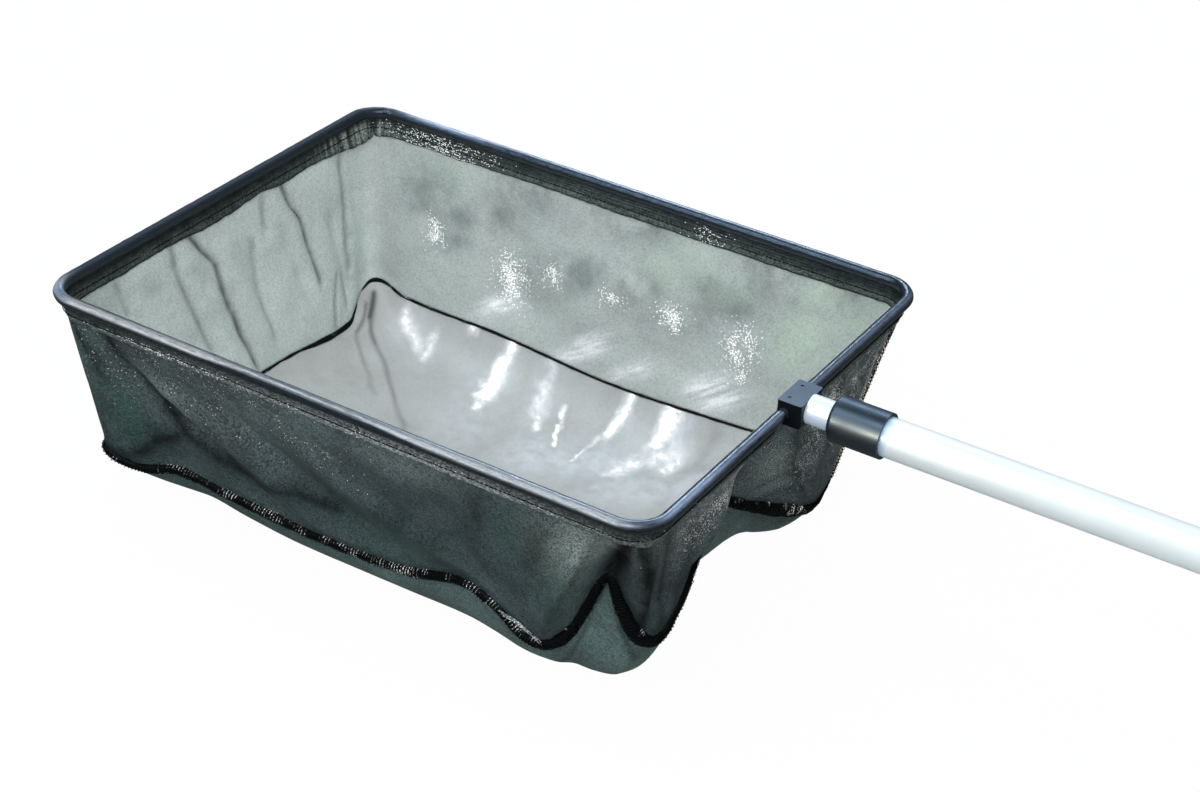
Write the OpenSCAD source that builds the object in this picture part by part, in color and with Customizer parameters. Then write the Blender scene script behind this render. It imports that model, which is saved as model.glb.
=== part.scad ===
// Leaf skimmer net on a two-section telescopic pole.
// Origin: on the pole's axis, in the middle of the hand grip.
// +X runs along the pole towards its butt, the net is on the -X side,
// +Z points up out of the net's mouth. All sizes are in millimetres.

/* [Hoop] */
// Length of the hoop along the pole, between rod centre lines
hoop_length = 450; // [300:10:600]
// Width of the hoop across the pole, between rod centre lines
hoop_width = 345; // [240:5:450]
// Diameter of the hoop rod
rod_d = 7; // [5:0.5:9]
// Bend radius of the hoop's corners, at the rod's centre line
corner_r = 22; // [16:1:34]

/* [Bag] */
// Height of the net walls, from the rod down to the bottom seam
bag_depth = 130; // [80:5:200]
// How far the bottom seam hangs inside the rod
bag_inset = 36; // [20:1:50]
// How far the bottom panel sags below its seam
bottom_sag = 35; // [15:1:60]
// Thickness of the net cloth
cloth_t = 0.6; // [0.4:0.1:1.2]
// Depth of the folds, as a share of the hanging folds' full depth
fold_share = 1; // [0.3:0.1:1.2]
// Thickness of each ply of the sleeve round the rod
sleeve_t = 0.5; // [0.3:0.1:0.6]
// Depth of the sleeve's sewn hem below the rod's centre
hem_depth = 16; // [13:1:30]
// Slant of the hem towards the inside of the net, in degrees
hem_slant = 14; // [6:1:20]
// Thickness of the overlocked seam round the bottom
seam_d = 4.4; // [3:0.2:6]
// Thickness of the sewing thread
thread_d = 0.7; // [0.4:0.1:1.2]

/* [Socket] */
// Length of the socket block along the pole
block_length = 16.5; // [14:0.5:24]
// Width of the socket block across the pole
block_width = 28.5; // [24:0.5:40]
// Height of the socket block
block_height = 16; // [13:0.5:24]
// Cover of the block over the hoop rod on the net's side
rod_cover = 1.75; // [1:0.25:3]
// Gap between the hoop rod's two ends inside the block
rod_end_gap = 4; // [2:0.5:8]
// Diameter of the pins that hold the rod's ends
rod_pin_d = 2.4; // [1.6:0.2:3]
// Length of the block's spigot inside the inner tube
spigot_length = 26; // [18:1:40]

/* [Inner tube] */
// Outer diameter of the inner tube
inner_d = 19; // [16:0.5:20]
// Wall of the inner tube
inner_wall = 1; // [0.8:0.1:1.5]
// Length of the inner tube
inner_length = 483; // [380:1:560]
// Stretch of inner tube that shows between the socket and the lock collar
stub_length = 16.5; // [6:0.5:40]

/* [Outer tube] */
// Outer diameter of the outer tube
outer_d = 25; // [24:0.5:28]
// Wall of the outer tube
outer_wall = 1.2; // [0.8:0.1:1.5]
// Length of the outer tube
outer_length = 520; // [500:5:700]

/* [Lock] */
// Outer diameter of the lock collar
collar_d = 29.5; // [29:0.5:36]
// Length of the lock collar
collar_length = 35; // [32:1:44]
// Length of the collar's skirt that laps over the outer tube
collar_lap = 15.5; // [10:0.5:18]
// Length of the lock body's thread in front of the outer tube
thread_length = 10; // [8:0.5:12]
// Length of the lock body's plug inside the outer tube
lock_plug_length = 26; // [18:1:40]
// Length of the split collet
collet_length = 5.5; // [4:0.5:7]
// Width of the slit in the collet
collet_slit = 2; // [1:0.5:4]
// Diameter of the pins that hold the lock body in the outer tube
lock_pin_d = 3; // [2:0.5:4]

/* [Guide] */
// Length of the guide ring on the inner tube's rear end
guide_length = 12; // [8:1:20]
// Length of the core's plug inside the inner tube
core_plug_length = 20; // [14:1:30]
// Thickness of the core's head behind the guide ring
core_head_t = 4; // [3:0.5:6]
// Diameter of the pin through the core
core_pin_d = 3; // [2:0.5:4]

/* [Grip] */
// Length of the hand grip
grip_length = 125; // [116:1:160]
// Outer diameter of the hand grip
grip_d = 30; // [29:0.5:36]
// Height of the flare at the grip's front end
grip_flare = 1.6; // [0.8:0.2:3]
// Length of the grip's smooth middle
grip_smooth = 100; // [80:1:104]
// Depth of the grip's ring grooves
groove_depth = 0.8; // [0.4:0.1:1]

/* [End plug] */
// Length of the end plug inside the outer tube
plug_length = 24; // [14:1:34]
// Thickness of the end plug's rim
plug_rim = 4; // [3:0.5:6]
// Length of the hanging tab behind the rim
tab_length = 20; // [16:1:28]
// Width of the hanging tab
tab_width = 19; // [16:0.5:22]
// Thickness of the hanging tab
tab_t = 7; // [5:0.5:9]
// Diameter of the hanging hole
hang_hole_d = 8; // [6:0.5:9]

/* [Fits] */
// Radial clearance of a running or sliding fit
run_gap = 0.06; // [0.04:0.01:0.09]
// Radial clearance of a part that is pushed in and stays
seat_gap = 0.04; // [0.02:0.01:0.08]
// Clearance between faces that never touch
free_gap = 0.3; // [0.2:0.05:0.5]
// Clearance of the cloth round the rod and the socket block
cloth_gap = 2; // [1:0.25:4]

/* [Hidden] */

$fn = 64;

// Radii that several pieces share.
rod_r = rod_d / 2;
inner_r = inner_d / 2;
inner_bore_r = inner_r - inner_wall;
outer_r = outer_d / 2;
outer_bore_r = outer_r - outer_wall;
collar_r = collar_d / 2;
grip_r = grip_d / 2;

// Places along the pole, from the grip forwards to the hoop.
plug_shoulder = 3;                                  // grip stands this far past the tube's end
tube_end_x = grip_length / 2 - plug_shoulder;
tube_mouth_x = tube_end_x - outer_length;
collar_back_x = tube_mouth_x + collar_lap;
collar_front_x = collar_back_x - collar_length;
// Shut, the inner tube goes in until only its stub shows, or until its core nears the plug.
guide_room = guide_length + 2 * free_gap;
nest_length = tube_end_x - plug_length - free_gap - core_head_t - guide_room - collar_front_x;
shut_stub = max(stub_length, inner_length - nest_length);
socket_back_x = collar_front_x - shut_stub;
block_front_x = socket_back_x - block_length;
rod_side_x = block_front_x + rod_cover + rod_r;
hoop_x = rod_side_x - hoop_length / 2;
core_x = socket_back_x + inner_length;              // rear end of the inner tube
lock_plug_back_x = tube_mouth_x + lock_plug_length;

// Details of the lock: the collet sits in front of the thread, inside the collar.
thread_r = outer_r - 0.5;
collet_back_x = tube_mouth_x - thread_length - free_gap;
collet_front_x = collet_back_x - collet_length;
collet_nose_r = inner_r + 1.1;
collet_root_r = thread_r - 0.3;
collar_edge_r = 3;                                  // rounding of the collar's front edge

// ---------------------------------------------------------------- hoop outline
// A place on the hoop is a share u of the way round it, from 0 to 1. It starts in
// the middle of the pole side, and runs over the +Y side, the far end and the -Y side.
half_l = hoop_length / 2;
half_w = hoop_width / 2;
bend = PI / 2 * corner_r;
stretches = [half_w - corner_r, bend, 2 * (half_l - corner_r), bend, 2 * (half_w - corner_r),
    bend, 2 * (half_l - corner_r), bend, half_w - corner_r];
function sum_to(k) = k == 0 ? 0 : sum_to(k - 1) + stretches[k - 1];
perimeter = sum_to(len(stretches));
ends = [for (k = [0:len(stretches)]) sum_to(k) / perimeter];
corner_sign = [[1, 1], [-1, 1], [-1, -1], [1, -1]];

function wrap(u) = u - floor(u);
function stretch_at(u, k = 0) = k == 8 || u < ends[k + 1] ? k : stretch_at(u, k + 1);

// Point at u on a rounded rectangle that lies inset inside the hoop, with bends of radius r.
function outline(u, inset, r) =
    let (w = wrap(u), k = stretch_at(w), f = (w - ends[k]) / (ends[k + 1] - ends[k]),
        a = half_l - inset, b = half_w - inset, q = (k - 1) / 2)
    k == 0 ? [a, (b - r) * f] :
    k == 8 ? [a, (b - r) * (f - 1)] :
    k == 2 ? [(a - r) * (1 - 2 * f), b] :
    k == 4 ? [-a, (b - r) * (1 - 2 * f)] :
    k == 6 ? [(a - r) * (2 * f - 1), -b] :
    [corner_sign[q].x * (a - r) + r * cos(90 * (q + f)), corner_sign[q].y * (b - r) + r * sin(90 * (q + f))];

// ---------------------------------------------------------------- how the bag hangs
// Where the bottom seam hangs: [place round the hoop, inset share, depth share]. The seam
// is pinched up under the near pole-side corner and lifted in the middle of the pole side.
seam_hang = [
    [0.000, 0.72, 0.66], [0.027, 0.56, 0.83], [0.050, 0.46, 0.97], [0.077, 0.47, 1.02],
    [0.102, 0.67, 1.00], [0.120, 0.83, 0.99], [0.172, 0.97, 1.01], [0.240, 1.00, 1.03],
    [0.310, 1.00, 0.98], [0.375, 0.97, 0.97], [0.394, 0.78, 0.93], [0.408, 0.70, 0.98],
    [0.422, 0.92, 1.08], [0.480, 0.97, 1.02], [0.530, 0.97, 1.00], [0.567, 0.80, 0.98],
    [0.592, 0.55, 0.95], [0.607, 0.42, 0.93], [0.622, 0.75, 1.00], [0.640, 0.92, 0.95],
    [0.665, 0.97, 0.98], [0.720, 1.00, 1.01], [0.775, 1.00, 0.98], [0.810, 0.92, 0.88],
    [0.828, 0.88, 0.94], [0.842, 0.86, 1.03], [0.855, 0.80, 1.00], [0.866, 0.68, 0.82],
    [0.881, 0.62, 0.42], [0.891, 0.63, 0.60], [0.903, 0.56, 0.78], [0.917, 0.45, 0.85],
    [0.932, 0.42, 0.74], [0.952, 0.62, 0.60], [0.975, 0.82, 0.52]];

function hang_at(i) = let (n = len(seam_hang), k = (i % n + n) % n, turns = floor(i / n))
    [seam_hang[k][0] + turns, seam_hang[k][1], seam_hang[k][2]];
function hang_index(w, i = 0) = hang_at(i + 1)[0] > w ? i : hang_index(w, i + 1);
// Smooth curve through the places above: [inset, depth] in mm.
function hang(u) =
    let (w = wrap(u), i = hang_index(w), p0 = hang_at(i - 1), p1 = hang_at(i), p2 = hang_at(i + 1),
        p3 = hang_at(i + 2), h = p2[0] - p1[0], t = (w - p1[0]) / h,
        m1 = (p2 - p0) / (p2[0] - p0[0]) * h, m2 = (p3 - p1) / (p3[0] - p1[0]) * h,
        v = (2 * t * t * t - 3 * t * t + 1) * p1 + (t * t * t - 2 * t * t + t) * m1
            + (3 * t * t - 2 * t * t * t) * p2 + (t * t * t - t * t) * m2)
    [v[1] * bag_inset, v[2] * bag_depth];

seam_bend_r = 0.64 * corner_r;
function rim_point(u) = let (p = outline(u, 0, corner_r)) [p.x, p.y, 0];
function seam_point(u) = let (s = hang(u), p = outline(u, s[0], seam_bend_r)) [p.x, p.y, -s[1]];

// Folds of the walls: [place at the rim, place at the seam, width, depth, height share where
// it starts, where it ends]. Width and depth are shares of the bag's depth. A positive depth
// stands out of the bag.
wall_folds = [
    [0.470, 0.445, 0.069, 0.023, 0.15, 0.75], [0.500, 0.478, 0.077, 0.027, 0.10, 0.80],
    [0.530, 0.505, 0.069, 0.023, 0.10, 0.85], [0.558, 0.535, 0.077, 0.027, 0.05, 0.85],
    [0.430, 0.418, 0.062, 0.023, 0.20, 0.90], [0.622, 0.700, 0.123, -0.054, 0.02, 1.00],
    [0.632, 0.745, 0.154, 0.046, 0.05, 0.95], [0.650, 0.790, 0.154, -0.038, 0.10, 0.85],
    [0.700, 0.830, 0.169, 0.038, 0.20, 0.90], [0.868, 0.858, 0.092, 0.038, 0.10, 0.85],
    [0.884, 0.881, 0.069, -0.062, 0.05, 0.80], [0.897, 0.896, 0.062, 0.046, 0.05, 0.80],
    [0.925, 0.908, 0.092, -0.038, 0.10, 0.80], [0.950, 0.934, 0.200, 0.077, 0.10, 0.95],
    [0.992, 0.968, 0.185, -0.108, 0.05, 1.00], [0.030, 0.030, 0.185, 0.054, 0.20, 1.00],
    [0.062, 0.055, 0.077, -0.031, 0.10, 0.80], [0.180, 0.205, 0.200, 0.038, 0.15, 0.85],
    [0.250, 0.262, 0.185, -0.031, 0.20, 0.80], [0.320, 0.300, 0.200, 0.038, 0.15, 0.85]];
function swell(t) = exp(-t * t);
function ease(t) = let (c = min(1, max(0, t))) c * c * (3 - 2 * c);
function way_round(d) = (d - round(d)) * perimeter;
function fold_height(u, v) = fold_share * bag_depth * sum([for (f = wall_folds)
    f[3] * swell(way_round(u - mix(f[0], f[1], v)) / (f[2] * bag_depth))
        * ease((v - f[4]) / 0.25) * ease((f[5] - v) / 0.25 + 0.4)]);
function sum(list, i = 0) = i == len(list) ? 0 : list[i] + sum(list, i + 1);

function unit(v) = v / norm(v);
function mix(a, b, t) = a * (1 - t) + b * t;
// Along the rim at u, level.
function tangent(u) = unit(rim_point(u + 0.002) - rim_point(u - 0.002));
// Square to the wall at u, out of the bag.
function out_of(u) = unit(cross(unit(seam_point(u) - rim_point(u)), tangent(u)));

// The hem is a flat band under the rod, at a steady slant. It holds the wall's top edge,
// and the wall hangs from the hem's lower edge to the seam.
function hem_in(u) = let (t = tangent(u)) [-t.y, t.x, 0];
function hem_fall(u) = hem_in(u) * sin(hem_slant) - [0, 0, cos(hem_slant)];
function hem_out(u) = -hem_in(u) * cos(hem_slant) - [0, 0, sin(hem_slant)];
function hem_point(u, drop, s) = rim_point(u) + hem_fall(u) * drop + hem_out(u) * s;

// Depth of the wall's top edge: inside the hem, and below the socket block at the notch.
notch = block_width / 2 + cloth_gap;
function wall_top(u) = (abs(way_round(u)) < notch + 0.1 ? block_height / 2 : rod_r) + cloth_gap;
// Point of the wall's middle surface: v is 0 at its top edge, hem_v at the hem's lower edge
// and 1 beside the bottom seam. s moves the point out of the bag.
hem_v = 1 / 6;
function seam_run(u) = unit(seam_point(u + 0.002) - seam_point(u - 0.002));
// Lower end of the wall at u: clear of the seam's bead, also where the seam runs steeply.
foot_gap = 4 * free_gap;
function hang_foot(u) =
    let (top = hem_point(u, hem_depth, 0), run = seam_point(u) - top,
        squareness = max(0.2, norm(cross(unit(run), seam_run(u)))))
    top + run * (1 - (seam_d / 2 + foot_gap) / squareness / norm(run));
function wall_point(u, v, s) =
    let (t = (v - hem_v) / (1 - hem_v))
    v <= hem_v ? hem_point(u, mix(wall_top(u), hem_depth, v / hem_v), s)
        : mix(hem_point(u, hem_depth, 0), hang_foot(u), t)
            + unit(mix(hem_out(u), out_of(u), t)) * (s + ease(t / 0.25) * fold_height(u, t));

// ---------------------------------------------------------------- closed shells from grids
// Each grid is a list of rows of points. The two grids are the shell's outer and inner
// faces. A ring shell closes on itself along its rows; an open one gets end faces.
function flat_list(grid) = [for (row = grid) for (p = row) p];
module shell(outer, inner, ring) {
    rows = len(outer);
    cols = len(outer[0]);
    size = rows * cols;
    spans = ring ? cols - 1 : cols - 2;
    function at(layer, j, i) = layer * size + j * cols + i % cols;
    function quad(a, b, c, d) = [[a, b, c], [a, c, d]];
    faces = [
        for (j = [0:rows - 2]) for (i = [0:spans]) each concat(
            quad(at(0, j, i), at(0, j, i + 1), at(0, j + 1, i + 1), at(0, j + 1, i)),
            quad(at(1, j, i), at(1, j + 1, i), at(1, j + 1, i + 1), at(1, j, i + 1))),
        for (i = [0:spans]) each concat(
            quad(at(0, 0, i), at(1, 0, i), at(1, 0, i + 1), at(0, 0, i + 1)),
            quad(at(0, rows - 1, i), at(0, rows - 1, i + 1), at(1, rows - 1, i + 1), at(1, rows - 1, i))),
        if (!ring) for (j = [0:rows - 2]) each concat(
            quad(at(0, j, 0), at(0, j + 1, 0), at(1, j + 1, 0), at(1, j, 0)),
            quad(at(0, j, cols - 1), at(1, j, cols - 1), at(1, j + 1, cols - 1), at(0, j + 1, cols - 1)))];
    polyhedron(concat(flat_list(outer), flat_list(inner)), faces, convexity = 8);
}

// Tube of the given sides along a closed or open path, one ring of points per path point.
function ring_at(p, along, up, r, sides) =
    let (side = unit(cross(along, up)), top = unit(cross(side, along)))
    [for (k = [0:sides - 1]) p + r * (cos(360 * k / sides) * side + sin(360 * k / sides) * top)];
module bead(path, up, r, sides, closed) {
    n = len(path);
    rings = [for (i = [0:n - 1])
        let (a = closed ? path[(i + n - 1) % n] : path[max(0, i - 1)],
            b = closed ? path[(i + 1) % n] : path[min(n - 1, i + 1)])
        ring_at(path[i], unit(b - a), up[i], r, sides)];
    last = closed ? n - 1 : n - 2;
    function at(i, k) = (i % n) * sides + k % sides;
    faces = [
        for (i = [0:last]) for (k = [0:sides - 1]) each [
            [at(i, k), at(i + 1, k), at(i + 1, k + 1)], [at(i, k), at(i + 1, k + 1), at(i, k + 1)]],
        if (!closed) for (k = [1:sides - 2]) each [
            [at(0, 0), at(0, k), at(0, k + 1)], [at(n - 1, 0), at(n - 1, k + 1), at(n - 1, k)]]];
    polyhedron(flat_list(rings), faces, convexity = 8);
}

// Columns of the cloth: places round the hoop, closer together at the bends.
cloth_steps = [9, 5, 14, 5, 12, 5, 20, 5, 9];
notch_u = notch / perimeter;
function column_at(k, t) = k == 0 ? mix(notch_u, ends[1], t) :
    k == 8 ? mix(ends[8], 1 - notch_u, t) : mix(ends[k], ends[k + 1], t);
columns = concat([0], [for (k = [0:8]) for (j = [0:cloth_steps[k] - 1]) column_at(k, j / cloth_steps[k])],
    [1 - notch_u]);
wall_rows = 6;

// ---------------------------------------------------------------- net and hoop
module at_hoop() {
    translate([hoop_x, 0, 0]) children();
}

// One quarter bend of the rod in corner q.
module rod_bend(q) {
    translate([corner_sign[q].x * (half_l - corner_r), corner_sign[q].y * (half_w - corner_r), 0])
        rotate([0, 0, 90 * q])
            rotate_extrude(angle = 90) translate([corner_r, 0]) circle(r = rod_r);
}

// Straight rod along Y on the pole side, from one end face inside the socket to its bend.
module rod_end(side) {
    length = half_w - corner_r - rod_end_gap / 2;
    translate([half_l, side * rod_end_gap / 2, 0]) rotate([-side * 90, 0, 0]) cylinder(h = length, r = rod_r);
}

module rod_pin_places() {
    for (side = [-1, 1]) translate([rod_side_x, side * rod_pin_y, 0]) children();
}
rod_pin_y = (block_width / 2 + rod_end_gap / 2) / 2;
rod_pin_depth = rod_r + 2;

module hoop_rod() {
    color("#15171b") difference() {
        at_hoop() union() {
            for (q = [0:3]) rod_bend(q);
            for (side = [-1, 1]) rod_end(side);
            for (side = [-1, 1]) translate([-(half_l - corner_r), side * half_w, 0]) rotate([0, 90, 0])
                cylinder(h = 2 * (half_l - corner_r), r = rod_r);
            translate([-half_l, half_w - corner_r, 0]) rotate([90, 0, 0])
                cylinder(h = 2 * (half_w - corner_r), r = rod_r);
        }
        rod_pin_places() translate([0, 0, -rod_pin_depth]) cylinder(h = rod_pin_depth * 2, r = rod_pin_d / 2);
    }
}

// Sleeve of net cloth: a tube round the rod, with a hem of two plies below it that holds
// the wall's top edge between them. It stops short of the socket on both sides.
sleeve_r = rod_r + seat_gap;
sleeve_stop = block_width / 2 + 2 * cloth_gap;
hem_gap = cloth_t / 2 + 0.3;

// Section of the sleeve round the rod's centre: +X is out of the net.
module sleeve_section() {
    hem_w = 2 * (hem_gap + sleeve_t);
    difference() {
        union() {
            circle(r = sleeve_r + sleeve_t);
            rotate(-hem_slant) translate([-hem_w / 2, -hem_depth]) square([hem_w, hem_depth]);
        }
        circle(r = sleeve_r);
        rotate(-hem_slant) translate([-hem_gap, -2 * hem_depth])
            square([2 * hem_gap, 2 * hem_depth - sleeve_r - sleeve_t]);
    }
}

// Straight run of the sleeve on the side that faces turn, reach away from the hoop's middle.
module sleeve_run(turn, reach, start, end) {
    rotate([0, 0, turn]) translate([reach, end, 0]) rotate([90, 0, 0])
        linear_extrude(end - start) sleeve_section();
}

module rim_sleeve() {
    side = half_w - corner_r;
    long = half_l - corner_r;
    color("#23282a") at_hoop() union() {
        for (q = [0:3]) translate([corner_sign[q].x * long, corner_sign[q].y * side, 0])
            rotate([0, 0, 90 * q]) rotate_extrude(angle = 90) translate([corner_r, 0]) sleeve_section();
        sleeve_run(0, half_l, sleeve_stop, side);
        sleeve_run(0, half_l, -side, -sleeve_stop);
        sleeve_run(90, half_w, -long, long);
        sleeve_run(180, half_l, -side, side);
        sleeve_run(270, half_w, -long, long);
    }
}

// Lines of thread along the sleeve's hem, on the inside and the outside of the net.
stitch_depth = 0.69 * hem_depth;
hem_steps = [2, 9, 2, 9, 2, 9, 2, 9, 2];
hem_start = sleeve_stop / perimeter;
function hem_column(k, t) = k == 0 ? mix(hem_start, ends[1], t) :
    k == 8 ? mix(ends[8], 1 - hem_start, t) : mix(ends[k], ends[k + 1], t);
hem_columns = concat([for (k = [0:8]) for (j = [0:hem_steps[k] - 1]) hem_column(k, j / hem_steps[k])],
    [1 - hem_start]);
module hem_stitching() {
    stand_off = hem_gap + sleeve_t + thread_d / 2 + 0.1;
    color("#3a3f42") at_hoop() for (face = [-1, 1])
        bead([for (u = hem_columns) hem_point(u, stitch_depth, face * stand_off)],
            [for (u = hem_columns) hem_fall(u)], thread_d / 2, 4, false);
}

module bag_walls() {
    function face(s) = [for (j = [0:wall_rows]) [for (u = columns) wall_point(u, j / wall_rows, s)]];
    color("#56605f") at_hoop() shell(face(cloth_t / 2), face(-cloth_t / 2), true);
}

// Thread that closes the wall strip on the far side of the pole, on the outside.
closing_u = 0.094;
module closing_seam() {
    r = thread_d;
    steps = 9;
    path = [for (j = [0:steps]) wall_point(closing_u - 0.006 * j / steps, mix(0.17, 0.97, j / steps),
        cloth_t / 2 + r + 0.1)];
    color("#2c3032") at_hoop() bead(path, [for (p = path) [1, 0, 0]], r, 6, false);
}

// Overlocked seam that joins the walls to the bottom panel.
module bottom_seam() {
    color("#0b0d0e") at_hoop() bead([for (u = columns) seam_point(u)], [for (u = columns) [0, 0, 1]],
        seam_d / 2, 6, true);
}

// Bottom panel: it drops steeply inside its seam and then runs out nearly level.
panel_steps = [0, 0.02, 0.05, 0.09, 0.15, 0.26, 0.5];
drop_share = 0.075;
// Share of the sag at a place: full over the middle, less at the far end and least in the
// far corner of the pole side.
function sag_share(x, y) =
    let (from_end = ease((x + half_l) / (0.75 * half_l)), at_pole = ease((x / half_l - 0.55) / 0.35),
        at_far = ease((y / half_w + 0.15) / 0.6))
    (0.35 + 0.65 * from_end) * (1 - 0.6 * at_pole * at_far);
function panel_point(u, w, s) =
    let (p = seam_point(u), settle = 1 - exp(-w / drop_share), x = p.x * (1 - w), y = p.y * (1 - w),
        ripple = 0.085 * bottom_sag * sin(360 * 5 * u + 200 * w) * swell((w - 0.2) / 0.15))
    [x, y, mix(p.z, -bag_depth - bottom_sag * sag_share(x, y), settle) + ripple * ease(w / 0.1) + s];
module bag_bottom() {
    n = len(columns);
    rows = len(panel_steps);
    first = (seam_d / 2 + cloth_t / 2 + free_gap) / (half_w - bag_inset);
    function face(s) = [for (w = panel_steps) for (u = columns) panel_point(u, w + first, s)];
    middle = rows * n;
    side = middle + 1;
    floor_z = -bag_depth - bottom_sag;
    points = concat(face(-cloth_t / 2), [[0, 0, floor_z - cloth_t / 2]],
        face(cloth_t / 2), [[0, 0, floor_z + cloth_t / 2]]);
    function at(layer, j, i) = layer * side + j * n + i % n;
    faces = [
        for (j = [0:rows - 2]) for (i = [0:n - 1]) each [
            [at(0, j, i), at(0, j, i + 1), at(0, j + 1, i + 1)],
            [at(0, j, i), at(0, j + 1, i + 1), at(0, j + 1, i)],
            [at(1, j, i), at(1, j + 1, i + 1), at(1, j, i + 1)],
            [at(1, j, i), at(1, j + 1, i), at(1, j + 1, i + 1)]],
        for (i = [0:n - 1]) each [
            [at(0, rows - 1, i), at(0, rows - 1, i + 1), middle],
            [at(1, rows - 1, i + 1), at(1, rows - 1, i), side + middle],
            [at(0, 0, i), at(1, 0, i), at(1, 0, i + 1)], [at(0, 0, i), at(1, 0, i + 1), at(0, 0, i + 1)]]];
    color("#7d8786") at_hoop() polyhedron(points, faces, convexity = 8);
}

// ---------------------------------------------------------------- socket
module along_x(x) {
    translate([x, 0, 0]) rotate([0, 90, 0]) children();
}

// Rectangle with round corners, centred on its width, from x = 0 to length.
module round_box(length, width, height, r) {
    linear_extrude(height) union() {
        translate([0, -width / 2 + r]) square([length, width - 2 * r]);
        translate([r, -width / 2]) square([length - 2 * r, width]);
        for (x = [r, length - r]) for (y = [-1, 1]) translate([x, y * (width / 2 - r)]) circle(r = r);
    }
}

rivet_d = 3.2;
rivet_x = socket_back_x + stub_length * 0.45;
module socket_block() {
    color("#1b1e22") difference() {
        union() {
            translate([block_front_x, 0, -block_height / 2])
                round_box(block_length, block_width, block_height, 1.5);
            along_x(socket_back_x - 1) cylinder(h = spigot_length + 1, r = inner_bore_r - seat_gap);
        }
        for (side = [-1, 1]) translate([rod_side_x, side * rod_end_gap / 2, 0])
            rotate([-side * 90, 0, 0]) cylinder(h = block_width, r = rod_r + seat_gap);
        rod_pin_places() translate([0, 0, -rod_pin_depth])
            cylinder(h = rod_pin_depth + block_height, r = rod_pin_d / 2);
        translate([rivet_x, 0, -inner_r]) cylinder(h = inner_r, r = rivet_d / 2);
    }
}

// Two pins, pressed in from above through the block and the rod's ends.
module rod_pins() {
    recess = 0.4;
    color("#8d9297") rod_pin_places() translate([0, 0, -rod_pin_depth + seat_gap])
        cylinder(h = rod_pin_depth + block_height / 2 - recess - seat_gap, r = rod_pin_d / 2 - seat_gap);
}

// Blind rivet that holds the inner tube on the spigot, set from below.
module tube_rivet() {
    head_t = 1;
    color("#b9bec2") translate([rivet_x, 0, 0]) union() {
        translate([0, 0, -inner_r - seat_gap]) cylinder(h = inner_r * 0.7, r = rivet_d / 2 - seat_gap);
        translate([0, 0, -inner_r - head_t]) cylinder(h = head_t - seat_gap, r1 = rivet_d * 0.7, r2 = rivet_d);
    }
}

// ---------------------------------------------------------------- inner section
module inner_tube() {
    color("#e8ebec") difference() {
        along_x(socket_back_x + seat_gap) cylinder(h = inner_length - seat_gap, r = inner_r);
        along_x(socket_back_x - 1) cylinder(h = inner_length + 2, r = inner_bore_r);
        translate([rivet_x, 0, -2 * inner_r]) cylinder(h = 2 * inner_r, r = rivet_d / 2);
        core_pin_line() cylinder(h = inner_d + 2, r = core_pin_d / 2, center = true);
    }
}

module core_pin_line() {
    translate([core_x - core_plug_length / 2, 0, 0]) rotate([90, 0, 0]) children();
}

// Core in the inner tube's rear end: a plug, a journal for the guide ring and a head.
journal_r = inner_bore_r - 0.6;
module end_core() {
    color("#2a2d31") difference() {
        union() {
            along_x(core_x - core_plug_length) cylinder(h = core_plug_length, r = inner_bore_r - seat_gap);
            along_x(core_x - 1) cylinder(h = guide_room + core_head_t, r = journal_r);
            along_x(core_x + guide_room) cylinder(h = core_head_t, r = inner_r);
        }
        core_pin_line() cylinder(h = inner_d, r = core_pin_d / 2, center = true);
    }
}

module core_pin() {
    color("#9a9fa4") core_pin_line()
        cylinder(h = inner_d - 4 * seat_gap, r = core_pin_d / 2 - seat_gap, center = true);
}

// Ring that turns on the core and slides in the outer tube.
module guide_ring() {
    color("#d8d8d2") along_x(core_x + free_gap) difference() {
        cylinder(h = guide_length, r = outer_bore_r - run_gap);
        translate([0, 0, -1]) cylinder(h = guide_length + 2, r = journal_r + run_gap);
    }
}

// ---------------------------------------------------------------- lock
// Collar: skirt over the outer tube, thread over the lock body, cone over the collet.
module lock_collar() {
    thread_gap = run_gap + 0.02;
    color("#15181c") difference() {
        along_x(collar_front_x) rotate_extrude() difference() {
            union() {
                translate([0, collar_edge_r]) square([collar_r, collar_length - collar_edge_r]);
                square([collar_r - collar_edge_r, collar_length]);
                translate([collar_r - collar_edge_r, collar_edge_r]) circle(r = collar_edge_r);
            }
            square([inner_r + free_gap, collar_length + 1]);
        }
        along_x(tube_mouth_x - free_gap) cylinder(h = collar_length, r = outer_r + run_gap);
        along_x(collet_back_x) cylinder(h = thread_length + 1, r = thread_r + thread_gap);
        along_x(collet_front_x - free_gap) cylinder(h = collet_length + 2 * free_gap,
            r1 = collet_nose_r + free_gap, r2 = collet_root_r + free_gap);
    }
}

// Split ring that the collar's cone squeezes onto the inner tube.
module collet() {
    color("#cfd0c8") difference() {
        along_x(collet_front_x) cylinder(h = collet_length, r1 = collet_nose_r, r2 = collet_root_r);
        along_x(collet_front_x - 1) cylinder(h = collet_length + 2, r = inner_r + run_gap);
        translate([collet_front_x - 1, -collet_slit / 2, 0])
            cube([collet_length + 2, collet_slit, outer_d]);
    }
}

lock_pin_x = tube_mouth_x + collar_lap / 2;
module lock_pin_lines() {
    for (side = [-1, 1]) translate([lock_pin_x, 0, 0]) rotate([side * 90, 0, 0]) children();
}

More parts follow.
